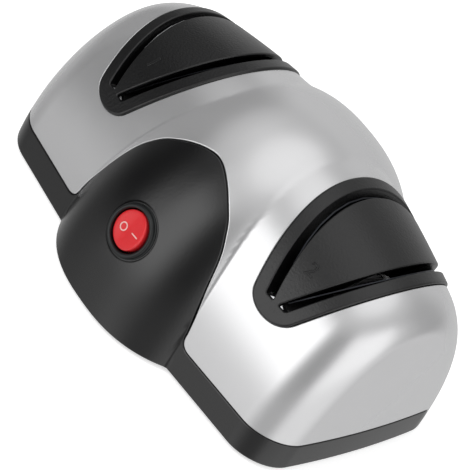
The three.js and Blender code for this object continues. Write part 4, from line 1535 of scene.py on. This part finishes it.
@dataclass
class SlotFittings:
    """Steel guide springs, the small steel plate at the mouth of each slot, and the stages' numerals."""

    form: CasingForm
    seams: Seams
    slots: Slots
    # Picks the faces of the one spring's cut edge that take the painted highlight.
    highlight_edge_share: float = 0.35  # a face that looks up the slot by more than this is the strip's cut edge
    plate_height: float = 49.4  # of a mouth plate's middle
    plate_y: float = -39.6
    plate_half: float = 1.25
    plate_thickness: float = 0.4
    plate_rounding: float = 0.12
    plate_sunk: float = 0.5
    numeral_places: tuple = (("1", -52.0, -30.6, 62.1), ("2", 51.6, -31.5, 61.4))
    numeral_size: float = 7.6
    numeral_line: float = 0.17
    numeral_rise: float = 0.8  # as the insert's, on which the numerals stand
    numeral_merge: float = 0.002

    def spring(self, stage: Stage, place: Place) -> None:
        """One guide spring, coloured dark as painted shade. On one spring the cut top edge is also a painted
        highlight.

        Args:
            stage: The spring's stage.
            place: Its slot.
        """
        name = f"{word(stage)}_{word(place)}"
        piece = copy_of(f"guide_spring_{name}", f"spring_leaf_{name}")
        # The spring's dark colour is painted shade for the inside of its slot.
        dress(piece, SHADED_SPRING_STRIP, "spring_steel", f"guide_{name}", f"guide_spring_{name}")
        if (stage, place) != (Stage.COARSE, Place.OUTER):
            return
        _, _, down = self.slots.frame(stage, place, self.seams)
        # This spring's cut edge is painted bright, as a highlight.
        piece.data.materials.append(BARE_EDGE_AND_HIGHLIGHT.material())
        for face in piece.data.polygons:
            if face.normal @ Vector(down) < -self.highlight_edge_share:
                face.material_index = 1

    def mouth_plate(self, stage: Stage, place: Place) -> None:
        """The small bright plate at the front end of a slot.

        Args:
            stage: The plate's stage.
            place: Its slot.
        """
        origin, across, down = self.slots.frame(stage, place, self.seams)
        along = (self.slots.edge_height - self.plate_height) / down[2]
        point = origin + along * down
        u, v = nearest(self.form, point + np.array([0, self.plate_y, 0]))
        normal = self.form.normal(u, v)
        middle = self.form.place(u, v)
        middle = middle + ((point - middle) @ across) * across - self.plate_sunk * normal
        name = f"mouth_plate_{'left' if stage is Stage.COARSE else 'right'}_{word(place)}"
        piece = primitive(name, bpy.ops.mesh.primitive_cube_add, size=2 * self.plate_half * MM)
        with editing():
            bpy.ops.transform.resize(value=(1, 1, self.plate_thickness / 2 / self.plate_half))
        piece = with_rounded_edges(piece, self.plate_rounding)
        dress(placed(piece, facing(middle, normal, -down)), BRIGHT_STEEL, "spring_steel", "casing")

    def numeral(self, figure: str, place: Points) -> None:
        """A stage's number, its outline raised by a line's height on the insert.

        Args:
            figure: The number.
            place: About where its middle goes.
        """
        u, v = nearest(self.form, place)
        surface, normal = self.form.lifted(u, v, self.numeral_rise)
        piece = primitive(f"stage_number_{figure}", bpy.ops.object.text_add)
        piece.data.body = figure
        piece.data.size = self.numeral_size * MM
        piece.data.align_x, piece.data.align_y = "CENTER", "CENTER"
        piece.data.fill_mode = "NONE"
        piece.data.bevel_depth = self.numeral_line * MM
        piece.data.bevel_resolution = 2
        bpy.ops.object.convert(target="MESH")
        piece = bpy.context.object
        with editing():
            bpy.ops.mesh.remove_doubles(threshold=self.numeral_merge * MM)
            bpy.ops.mesh.normals_make_consistent(inside=False)
        matrix = facing(surface, normal, np.array([0, 0, 1.0]))
        dress(placed(smooth(piece, CURVED), matrix), TEXTURED, "black_insert", "casing")

    def build(self) -> None:
        """Makes and dresses all the fittings, the mouth plates from left to right."""
        for stage in Stage:
            for place in Place:
                self.spring(stage, place)
        for stage in Stage:
            for away in (-1, 1):
                self.mouth_plate(stage, Place(away * stage.value))
        for figure, *place in self.numeral_places:
            self.numeral(figure, np.array(place))


@dataclass
class Underside:
    """Rubber feet with a hollow, and recessed case screws with a cross in the head."""

    foot_x: float = 60.3
    foot_y: float = 36.6
    foot_sides: int = 64
    foot_profile: tuple = (
        (2.6, -1.1), (2.9, -1.2), (3.1, -1.45), (3.4, -1.5), (4.8, -1.5), (5.25, -1.38), (5.5, -1.1),
        (6.0, 0.0), (6.0, 0.7),
    )
    screw_x: float = 75.8
    screw_y: float = 25.8
    screw_sides: int = 48
    screw_profile: tuple = (
        (2.2, 0.6), (2.8, 0.68), (3.15, 0.95), (3.3, 1.35), (3.3, 2.4), (1.3, 2.4), (1.3, 12.6), (0.6, 13.6),
    )
    cross_half: float = 1.9
    cross_width: float = 0.75
    cross_depth: float = 1.1
    cross_lift: float = 0.6

    def copies(self, piece: bpy.types.Object, x: float, y: float) -> list[bpy.types.Object]:
        """A piece at each of four places, each with a mesh of its own.

        Args:
            piece: The piece, which is used up.
            x: How far to the left and right the places lie.
            y: How far to the front and rear they lie.

        Returns:
            The copies, in the order of the CAD nodes.
        """
        made = []
        for i, (place_x, place_y) in enumerate([(-x, -y), (-x, y), (x, -y), (x, y)]):
            copy = bpy.data.objects.new(f"{piece.name}_{i + 1}", piece.data.copy())
            bpy.context.scene.collection.objects.link(copy)
            made.append(placed(copy, Matrix.Translation(mm(place_x, place_y, STAND))))
        bpy.data.objects.remove(piece)
        return made

    def screw(self) -> bpy.types.Object:
        """A case screw, its cross cut by two thin blades.

        Returns:
            The piece.
        """
        piece = turned("cross_screw", self.screw_profile, self.screw_sides)
        size = Matrix.Diagonal((self.cross_half, self.cross_width / 2, self.cross_depth, 1))
        lift = Matrix.Translation((0, 0, self.cross_lift * MM))
        for turn in (0, QUARTER):
            blade = primitive("cross_blade", bpy.ops.mesh.primitive_cube_add, size=2 * MM)
            blade.data.transform(lift @ Matrix.Rotation(turn, 4, "Z") @ size)
            only(piece)
            cut = piece.modifiers.new("cross", "BOOLEAN")
            cut.operation = "DIFFERENCE"
            cut.solver = "EXACT"
            cut.object = blade
            bpy.ops.object.modifier_apply(modifier=cut.name)
            bpy.data.objects.remove(blade)
        return smooth(piece)

    def build(self) -> None:
        """Makes and dresses the feet and screws."""
        feet = self.copies(turned("foot_pad", self.foot_profile, self.foot_sides), self.foot_x, self.foot_y)
        for i, piece in enumerate(feet):
            dress(piece, RUBBER, "foot_rubber", "casing", f"rubber_foot_{i + 1}")
        for i, piece in enumerate(self.copies(self.screw(), self.screw_x, self.screw_y)):
            dress(piece, ZINC_PLATE, "zinc_plated_steel", "casing", f"case_screw_{i + 1}")


@dataclass
class MainsInlet:
    """Two-pin socket at the rear, as in the CAD but with its edges rounded."""

    socket_rounding: float = 0.35
    pin_rounding: float = 0.15
    pin_angle: float = 50.0  # the facets round a pin meet at less than this and stay

    def build(self) -> None:
        """Makes and dresses the socket and its pins."""
        socket = with_rounded_edges(copy_of("inlet_socket", "mains_socket"), self.socket_rounding)
        dress(socket, BLACK, "black_housing", "casing", "inlet_socket")
        for place in ("left", "right"):
            pin = copy_of(f"inlet_pin_{place}", f"mains_pin_{place}")
            pin = with_rounded_edges(pin, self.pin_rounding, self.pin_angle)
            dress(pin, BRASS, "terminal_brass", "casing", f"inlet_pin_{place}")


# Finishes


def linear(code: str) -> tuple[float, float, float, float]:
    """A colour in sRGB hex as linear numbers.

    Args:
        code: Six hex digits.

    Returns:
        Red, green, blue and full alpha.
    """
    shares = [int(code[i : i + 2], 16) / 255 for i in (0, 2, 4)]
    return (*(s / 12.92 if s <= 0.04045 else ((s + 0.055) / 1.055) ** 2.4 for s in shares), 1.0)


def add_node(
    tree: bpy.types.NodeTree, kind: str, settings: dict | None = None, **links: object
) -> bpy.types.Node:
    """Adds a node, with its settings and what feeds it.

    Args:
        tree: The node tree.
        kind: Blender's name of the node, without the prefix.
        settings: Attributes of the node.
        **links: An output socket or a value for each input. An input is named with _ for a space, or by i and
            its number.

    Returns:
        The node.
    """
    node = tree.nodes.new(f"ShaderNode{kind}")
    for name, value in (settings or {}).items():
        setattr(node, name, value)
    for name, value in links.items():
        socket = node.inputs[int(name[1:])] if name[1:].isdigit() else node.inputs[name.replace("_", " ")]
        if isinstance(value, bpy.types.NodeSocket):
            tree.links.new(value, socket)
        else:
            socket.default_value = value
    return node


class Grain(Enum):
    """What the fine structure of a surface is."""

    MOULDED = "moulded"  # even grain from the mould or the spray gun
    DRAWN = "drawn"  # long fine scratches along X
    SHEETS = "sheets"  # stacked sheets across X
    WIRE = "wire"  # turns of wire stacked along Z
    GRIT = "grit"  # bonded grains


BAND_PERIOD = math.pi / 10  # of the wave texture at a scale of 1
SCRATCH = (0.06, 1, 1)  # stretches a pattern into long scratches along X


@dataclass(frozen=True)
class Finish:
    """A finish: what it is made of, its colour, and the fine structure of its surface."""

    name: str
    colour: str
    roughness: float = 0.4
    metallic: float = 0.0
    ior: float = 1.5
    mottle: float = 0.04  # how much the colour varies from place to place
    mottle_size: float = 9.0
    grain: Grain = Grain.MOULDED
    grain_size: float = 0.5
    grain_height: float = 0.01
    # The grain's low places are painted darker: painted shade in moulded and eroded grain and in a winding's
    # grooves, a real tone in sheet joints, pores and grit.
    grain_tone_and_shade: float = 0.0  # how much darker the low places of the grain are
    rough_spread: float = 0.03
    subsurface: float = 0.0
    subsurface_reach: float = 1.5
    subsurface_shares: tuple = (1.0, 0.2, 0.15)  # of that reach for red, green and blue

    def structure(self, tree: bpy.types.NodeTree, place: bpy.types.NodeSocket) -> bpy.types.NodeSocket:
        """The fine structure.

        Args:
            tree: The material's nodes.
            place: Where on the piece a point lies.

        Returns:
            The structure's height, from 0 to 1.
        """
        size = self.grain_size * MM
        if self.grain in (Grain.SHEETS, Grain.WIRE):
            along = "X" if self.grain is Grain.SHEETS else "Z"
            bands = {"wave_type": "BANDS", "bands_direction": along}
            wave = add_node(tree, "TexWave", bands, Vector=place, Scale=BAND_PERIOD / size, Distortion=0.0)
            return wave.outputs["Fac"]
        if self.grain is Grain.GRIT:
            cells = add_node(tree, "TexVoronoi", None, Vector=place, Scale=1 / size)
            return cells.outputs["Distance"]
        if self.grain is Grain.DRAWN:
            place = add_node(tree, "Mapping", None, Vector=place, Scale=SCRATCH).outputs[0]
        return add_node(tree, "TexNoise", None, Vector=place, Scale=1 / size, Detail=3.0).outputs["Fac"]

    def shade(
        self, tree: bpy.types.NodeTree, slow: bpy.types.NodeSocket, fine: bpy.types.NodeSocket
    ) -> bpy.types.NodeSocket:
        """The colour with its slow change, and its grain's low places darker: partly painted shade, partly
        real tone.

        Args:
            tree: The material's nodes.
            slow: The change from place to place.
            fine: Height of the fine structure.

        Returns:
            The colour.
        """
        base = linear(self.colour)
        ends = [tuple(min(c * (1 + sign * self.mottle), 1) for c in base[:3]) + (1,) for sign in (-1, 1)]
        mix = add_node(tree, "Mix", {"data_type": "RGBA"}, i0=slow, i6=ends[0], i7=ends[1])
        if not self.grain_tone_and_shade:
            return mix.outputs[2]
        # Darkens the grain's low places: painted shade for moulded grain, eroded texture and windings, a real
        # tone for the rest.
        tone = add_node(tree, "MapRange", None, Value=fine, To_Min=1 - self.grain_tone_and_shade, To_Max=1.0)
        shares = dict.fromkeys(("Red", "Green", "Blue"), tone.outputs[0])
        grey = add_node(tree, "CombineColor", None, **shares)
        settings = {"data_type": "RGBA", "blend_type": "MULTIPLY"}
        return add_node(tree, "Mix", settings, i0=1.0, i6=mix.outputs[2], i7=grey.outputs[0]).outputs[2]

    def material(self) -> bpy.types.Material:
        """Makes the material, once.

        Returns:
            The material.
        """
        known = bpy.data.materials.get(self.name)
        if known:
            return known
        made = bpy.data.materials.new(self.name)
        made.use_nodes = True
        tree = made.node_tree
        shader = tree.nodes["Principled BSDF"]
        place = add_node(tree, "TexCoord").outputs["Object"]
        fine = self.structure(tree, place)
        clouds = add_node(tree, "TexNoise", None, Vector=place, Scale=1 / (self.mottle_size * MM), Detail=2.0)
        slow = clouds.outputs["Fac"]
        tree.links.new(self.shade(tree, slow, fine), shader.inputs["Base Color"])
        low, high = max(self.roughness - self.rough_spread, 0.02), min(self.roughness + self.rough_spread, 1)
        spread = add_node(tree, "MapRange", None, Value=slow, To_Min=low, To_Max=high)
        tree.links.new(spread.outputs[0], shader.inputs["Roughness"])
        bump = add_node(tree, "Bump", None, Height=fine, Distance=self.grain_height * MM, Strength=1.0)
        tree.links.new(bump.outputs[0], shader.inputs["Normal"])
        shader.inputs["Metallic"].default_value = self.metallic
        if not self.metallic:
            shader.inputs["IOR"].default_value = self.ior
        if self.subsurface:
            shader.inputs["Subsurface Weight"].default_value = self.subsurface
            shader.inputs["Subsurface Radius"].default_value = self.subsurface_shares
            shader.inputs["Subsurface Scale"].default_value = self.subsurface_reach * MM
        return made


# Satin metallic paint over moulded plastic: soft stripes of light along the casing. The real flake is much
# finer, and is drawn at 0.35 mm so that it shows and just breaks the stripes up.
SILVER = Finish(
    "silver_metallic_paint", "e4e4e5", 0.25, metallic=0.7, mottle=0.012, grain_size=0.35, grain_height=0.002,
    rough_spread=0.02,
)
# Satin moulded ABS: a dark grey sheen with soft edges. The mould's grain is drawn at 0.8 mm, coarser than the
# real one, so that it shows, and its low places are painted darker as shade.
BLACK = Finish(
    "black_moulded_abs", "0a0a0b", 0.25, ior=1.7, grain_size=0.8, grain_height=0.03, grain_tone_and_shade=0.2,
    rough_spread=0.02,
)
# Spark-eroded texture of the inserts: a matt grain that greys where light grazes it. It is drawn at 0.8 mm,
# coarser than the real one, so that it shows, and its low places are painted darker as shade.
TEXTURED = Finish(
    "black_textured_plastic", "131314", 0.33, ior=1.6, grain_size=0.8, grain_height=0.13, grain_tone_and_shade=0.6
)
# Smoother nylon of the switch, with a slight cold tone.
BEZEL = Finish("black_switch_nylon", "121516", 0.36, ior=1.5, grain_size=0.4, grain_height=0.004)
# Glossy red that lets a little light into it, so that its rim glows.
ROCKER_RED = Finish(
    "red_translucent_rocker", "ea2f35", 0.22, ior=1.6, mottle=0.03, grain_height=0.001, subsurface=0.25
)
# Pink-white ink on the raised marks.
MARK_INK = Finish("pale_mark_ink", "ffcfc9", 0.45, mottle=0.03, grain_size=0.2, grain_height=0.002)
# Spring strip coloured dark like blued steel, as painted shade for the inside of the slots, with rolling
# lines.
SHADED_SPRING_STRIP = Finish(
    "spring_strip_painted_shade", "3a3c40", 0.38, metallic=1.0, grain=Grain.DRAWN, grain_size=0.25, grain_height=0.003
)
# The strip's bare cut edge, painted bright as a highlight along it.
BARE_EDGE_AND_HIGHLIGHT = Finish(
    "cut_steel_edge", "d4d5d7", 0.45, metallic=0.8, grain=Grain.DRAWN, grain_size=0.2, grain_height=0.003
)
# Bright rolled steel of the mouth plates.
BRIGHT_STEEL = Finish("bright_steel", "c6c7c9", 0.3, metallic=1.0, grain_size=0.3, grain_height=0.002)
# Matt rubber with a dusty bloom.
RUBBER = Finish("black_foot_rubber", "1d1d1d", 0.85, mottle=0.12, grain_size=0.4, grain_height=0.02)
# Zinc plating: bright with a cloudy passivated tone.
ZINC_PLATE = Finish(
    "zinc_plating", "b0b3b7", 0.34, metallic=1.0, mottle=0.08, mottle_size=2.5, grain_height=0.003
)
# Electrical steel sheets on edge: fine dark lines between sheets, drawn coarser than the real 0.5 mm.
CORE_SHEETS = Finish(
    "stacked_core_steel", "6f7276", 0.5, metallic=0.9, grain=Grain.SHEETS, grain_size=0.7, grain_height=0.06,
    grain_tone_and_shade=0.35,
)
# Die-cast zinc: dull, with flow clouds.
CAST_ZINC = Finish(
    "cast_zinc_alloy", "a3a5a7", 0.48, metallic=0.9, mottle=0.08, mottle_size=6, grain_height=0.015
)
# Oiled sintered bronze: brown-gold with dark pores.
BRONZE = Finish(
    "sintered_bronze", "94703e", 0.42, metallic=1.0, grain=Grain.GRIT, grain_size=0.35, grain_tone_and_shade=0.25
)
# Stamped brass: warm and bright, with drawing lines.
BRASS = Finish(
    "stamped_brass", "d0aa55", 0.28, metallic=1.0, grain=Grain.DRAWN, grain_size=0.25, grain_height=0.002
)
# Varnished wire: turns side by side, with painted shade in the grooves, drawn coarser than the real wire.
WINDING = Finish(
    "varnished_winding", "a9562c", 0.32, metallic=0.85, grain=Grain.WIRE, grain_size=0.6, grain_height=0.15,
    grain_tone_and_shade=0.4,
)
# Natural nylon of the bobbin and fan: off-white and slightly waxy.
NYLON = Finish("natural_nylon", "e6e2d7", 0.42, mottle=0.02, grain_height=0.004, subsurface=0.1)
# Coarse and fine bonded abrasive: open grains, dull and speckled.
COARSE_GRIT = Finish(
    "coarse_abrasive", "6c665f", 0.88, grain=Grain.GRIT, grain_size=0.45, grain_height=0.12, grain_tone_and_shade=0.4
)
FINE_GRIT = Finish(
    "fine_abrasive", "8f8f90", 0.82, grain=Grain.GRIT, grain_size=0.2, grain_height=0.05, grain_tone_and_shade=0.3
)
# Lead insulation: matt vinyl with a faint bloom.
LEAD_VINYL = Finish("lead_vinyl", "3c3e42", 0.55, mottle=0.06, mottle_size=5, grain_height=0.004)

CARRIED_OVER = {
    BLACK: ["bottom_cover"],
    BRASS: ["switch_terminal_left", "switch_terminal_right"],
    CORE_SHEETS: ["stator_core", "rotor_core"],
    NYLON: ["coil_bobbin", "cooling_fan"],
    WINDING: ["coil_winding"],
    CAST_ZINC: ["bearing_bracket_left", "bearing_bracket_right"],
    BRONZE: ["bearing_bush_left", "bearing_bush_right"],
    ZINC_PLATE: [
        *("bracket_screw_left", "bracket_screw_right", "clamp_bolt_upper", "clamp_bolt_lower", "motor_shaft"),
        *(f"wheel_{part}_{word(stage)}" for part in ("collar", "washer", "nut") for stage in Stage),
    ],
    COARSE_GRIT: ["grinding_wheel_coarse"],
    FINE_GRIT: ["grinding_wheel_fine"],
    LEAD_VINYL: ["lead_inlet_to_switch", "lead_switch_to_coil", "lead_inlet_to_coil"],
}


def dress(piece: bpy.types.Object, finish: Finish, slot: str, body: str, *nodes: str) -> None:
    """Gives a piece its finish, ties it to the frame and reports it.

    Args:
        piece: The piece.
        finish: Its finish.
        slot: Its slot in the record; not used.
        body: The body that it moves with.
        *nodes: The CAD nodes that it stands for.
    """
    piece.data.materials.clear()
    piece.data.materials.append(finish.material())
    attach(piece, body)
    if nodes:
        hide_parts(*nodes)
    LOG.info("%s: %d faces in %s", piece.name, len(piece.data.polygons), finish.name)


def finish_carried_over() -> None:
    """Gives the CAD nodes inside the casing and beneath it their finishes."""
    for finish, names in CARRIED_OVER.items():
        for name in names:
            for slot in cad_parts[name].material_slots:
                slot.material = finish.material()
            LOG.info("%s: from the CAD, in %s", name, finish.name)


# Studio


@dataclass
class Studio:
    """Pale floor, white surroundings with grey gaps for the gloss, soft lamps and the photograph's camera."""

    azimuth: float = 34.148
    elevation: float = 36.006
    roll: float = 30.788
    distance: float = 745.342
    shift: tuple = (4.575, 13.855)
    focal_pixels: float = 1982.906
    soft: float = 0.5  # strength of the world where it only lights
    # Brightness that gloss shows: by azimuth, from the front to the right, where it looks level and where it
    # looks down, and by the sine of its height where it looks up.
    level_cards: tuple = (
        (-180, 0.55), (-135, 0.55), (-118, 0.2), (-75, 0.16), (-62, 0.08), (-42, 0.07), (-34, 0.35),
        (-28, 1.6), (-2, 1.8), (8, 0.95), (17, 0.28), (28, 0.16), (46, 0.16), (58, 1.25), (98, 1.25),
        (112, 0.55), (140, 0.3), (160, 0.3), (180, 0.55),
    )
    low_cards: tuple = (
        (-180, 0.6), (-120, 0.6), (-90, 0.4), (-70, 0.25), (-45, 0.4), (-25, 0.6), (-10, 0.85), (5, 0.65),
        (20, 0.35), (45, 0.35), (60, 0.9), (100, 0.9), (130, 0.6), (180, 0.6),
    )
    overhead: tuple = ((0.0, 0.3), (0.64, 0.3), (0.766, 0.45), (0.866, 0.55), (0.93, 0.98), (1.0, 1.05))
    low_range: tuple = (-16.0, 6.0)  # degrees over which the low cards give way to the level ones
    overhead_range: tuple = (36.0, 52.0)
    ramp_top: float = 2.0  # brightness is halved in a ramp, which holds colours up to 1, and doubled after it
    floor_size: float = 6.0  # in metres, as the lamps' places and sizes are
    floor_colour: str = "fafafa"
    floor_roughness: float = 0.9
    floor_lift: float = 0.6  # added where the camera sees the floor, so that it is white
    lamps: tuple = (
        ("key", (-0.5, -0.9, 1.1), (0.7, 0.7), 7),
        ("fill", (1.2, 0.1, 0.9), (0.8, 0.8), 4),
    )  # name, place, size and power
    lamp_aim: float = 0.04

    def camera(self) -> None:
        """Puts the camera where the photograph was taken from."""
        a, e, r = (math.radians(angle) for angle in (self.azimuth, self.elevation, self.roll))
        back = Vector((math.sin(a) * math.cos(e), -math.cos(a) * math.cos(e), math.sin(e)))
        level = Vector((math.cos(a), math.sin(a), 0))
        upright = back.cross(level)
        right = math.cos(r) * level + math.sin(r) * upright
        up = -math.sin(r) * level + math.cos(r) * upright
        data = bpy.data.cameras.new("camera")
        data.sensor_width = 36
        data.lens = self.focal_pixels * data.sensor_width / IMAGE
        data.clip_start, data.clip_end = 0.01, 20
        camera = bpy.data.objects.new("camera", data)
        place = right * self.shift[0] + up * self.shift[1] + back * self.distance + Vector((0, 0, STAND))
        turn = Matrix((right, up, back)).transposed().to_4x4()
        camera.matrix_world = Matrix.Translation(place * MM) @ turn
        bpy.context.scene.collection.objects.link(camera)
        bpy.context.scene.camera = camera

    def lamp(self, name: str, place: tuple, size: tuple, power: float) -> None:
        """A soft rectangular lamp that faces the object, and that gloss doesn't show.

        Args:
            name: Name of the lamp.
            place: Where it hangs.
            size: Its width and height.
            power: Its power in watts.
        """
        data = bpy.data.lights.new(name, "AREA")
        data.shape = "RECTANGLE"
        data.size, data.size_y = size
        data.energy = power
        lamp = bpy.data.objects.new(name, data)
        lamp.location = place
        way = Vector((0, 0, self.lamp_aim)) - Vector(place)
        lamp.rotation_euler = way.to_track_quat("-Z", "Y").to_euler()
        lamp.visible_glossy = False
        bpy.context.scene.collection.objects.link(lamp)

    def floor(self) -> None:
        """A plain pale floor that is white to the camera and keeps the shadow."""
        floor = primitive("floor", bpy.ops.mesh.primitive_plane_add, size=self.floor_size, location=(0, 0, 0))
        floor.visible_glossy = False
        made = bpy.data.materials.new("pale_floor")
        made.use_nodes = True
        tree = made.node_tree
        shader = tree.nodes["Principled BSDF"]
        shader.inputs["Base Color"].default_value = linear(self.floor_colour)
        shader.inputs["Roughness"].default_value = self.floor_roughness
        shader.inputs["Emission Color"].default_value = (1, 1, 1, 1)
        seen = add_node(tree, "LightPath").outputs["Is Camera Ray"]
        lift = add_node(tree, "Math", {"operation": "MULTIPLY"}, i0=seen, i1=self.floor_lift)
        tree.links.new(lift.outputs[0], shader.inputs["Emission Strength"])
        floor.data.materials.append(made)

    def gloss(self, tree: bpy.types.NodeTree) -> bpy.types.NodeSocket:
        """Brightness of the surroundings in each direction, as gloss shows it.

        Args:
            tree: The world's nodes.

        Returns:
            The brightness.
        """
        way = add_node(tree, "SeparateXYZ", None, Vector=add_node(tree, "TexCoord").outputs["Generated"])
        front = add_node(tree, "Math", {"operation": "MULTIPLY"}, i0=way.outputs[1], i1=-1.0)
        turn = add_node(tree, "Math", {"operation": "ARCTAN2"}, i0=way.outputs[0], i1=front.outputs[0])
        share = add_node(tree, "MapRange", None, Value=turn.outputs[0], From_Min=-math.pi, From_Max=math.pi)
        level, low = (
            self.ramp(tree, share.outputs[0], [((angle + 180) / 360, bright) for angle, bright in cards])
            for cards in (self.level_cards, self.low_cards)
        )
        top = self.ramp(tree, way.outputs[2], self.overhead)
        sides = self.crossing(tree, way.outputs[2], self.low_range, low, level)
        return self.crossing(tree, way.outputs[2], self.overhead_range, sides, top)

    def crossing(
        self,
        tree: bpy.types.NodeTree,
        height: bpy.types.NodeSocket,
        angles: tuple[float, float],
        lower: bpy.types.NodeSocket,
        upper: bpy.types.NodeSocket,
    ) -> bpy.types.NodeSocket:
        """A soft change from one brightness to another between two heights.

        Args:
            tree: The world's nodes.
            height: Sine of the direction's height.
            angles: Where the change starts and ends, in degrees above the horizon.
            lower: Brightness below it.
            upper: Brightness above it.

        Returns:
            The brightness.
        """
        rise = add_node(tree, "MapRange", {"interpolation_type": "SMOOTHSTEP"}, Value=height)
        rise.inputs["From Min"].default_value = math.sin(math.radians(angles[0]))
        rise.inputs["From Max"].default_value = math.sin(math.radians(angles[1]))
        return add_node(tree, "Mix", None, i0=rise.outputs[0], i2=lower, i3=upper).outputs[0]

    def ramp(
        self, tree: bpy.types.NodeTree, value: bpy.types.NodeSocket, stops: Sequence[tuple[float, float]]
    ) -> bpy.types.NodeSocket:
        """A brightness that follows a value from stop to stop.

        Args:
            tree: The world's nodes.
            value: The value, from 0 to 1.
            stops: Value and brightness of each stop.

        Returns:
            The brightness.
        """
        node = add_node(tree, "ValToRGB", None, Fac=value)
        line = node.color_ramp
        while len(line.elements) > 1:
            line.elements.remove(line.elements[0])
        for i, (place, bright) in enumerate(stops):
            element = line.elements.new(place) if i else line.elements[0]
            element.position = place
            element.color = (*(bright / self.ramp_top,) * 3, 1)
        raised = add_node(tree, "Math", {"operation": "MULTIPLY"}, i0=node.outputs[0], i1=self.ramp_top)
        return raised.outputs[0]

    def world(self) -> None:
        """White to the eye, white with soft grey gaps in reflections, and dimmer as a light."""
        world = bpy.data.worlds.new("studio")
        bpy.context.scene.world = world
        world.use_nodes = True
        tree = world.node_tree
        tree.nodes.clear()
        path = add_node(tree, "LightPath")
        glossy = path.outputs["Is Glossy Ray"]
        gloss = add_node(tree, "Mix", None, i0=glossy, i2=self.soft, i3=self.gloss(tree))
        clear = add_node(tree, "Math", {"operation": "MAXIMUM"})
        tree.links.new(path.outputs["Is Camera Ray"], clear.inputs[0])
        tree.links.new(path.outputs["Is Transmission Ray"], clear.inputs[1])
        strength = add_node(tree, "Mix", None, i0=clear.outputs[0], i2=gloss.outputs[0], i3=1.0)
        shine = add_node(tree, "Background", None, Color=(1, 1, 1, 1), Strength=strength.outputs[0])
        add_node(tree, "OutputWorld", None, Surface=shine.outputs[0]).is_active_output = True

    def build(self) -> None:
        """Sets up the whole studio."""
        self.camera()
        self.floor()
        self.world()
        for lamp in self.lamps:
            self.lamp(*lamp)
        bpy.context.scene.view_settings.view_transform = "Standard"


def main() -> None:
    """Builds the sharpener round the frame."""
    logging.basicConfig(level=logging.INFO, format="%(message)s")
    form, seams, slots = CasingForm(), Seams(), Slots()
    place = SwitchPlace(form)
    UpperShell(form, seams).dress()
    LowerHousing(form, seams, place).dress()
    for stage in Stage:
        SlotInsert(form, seams, slots, stage).dress()
    SlotFittings(form, seams, slots).build()
    RockerSwitch(place).build()
    MainsInlet().build()
    Underside().build()
    finish_carried_over()
    Studio().build()


if __name__ == "__main__":
    main()
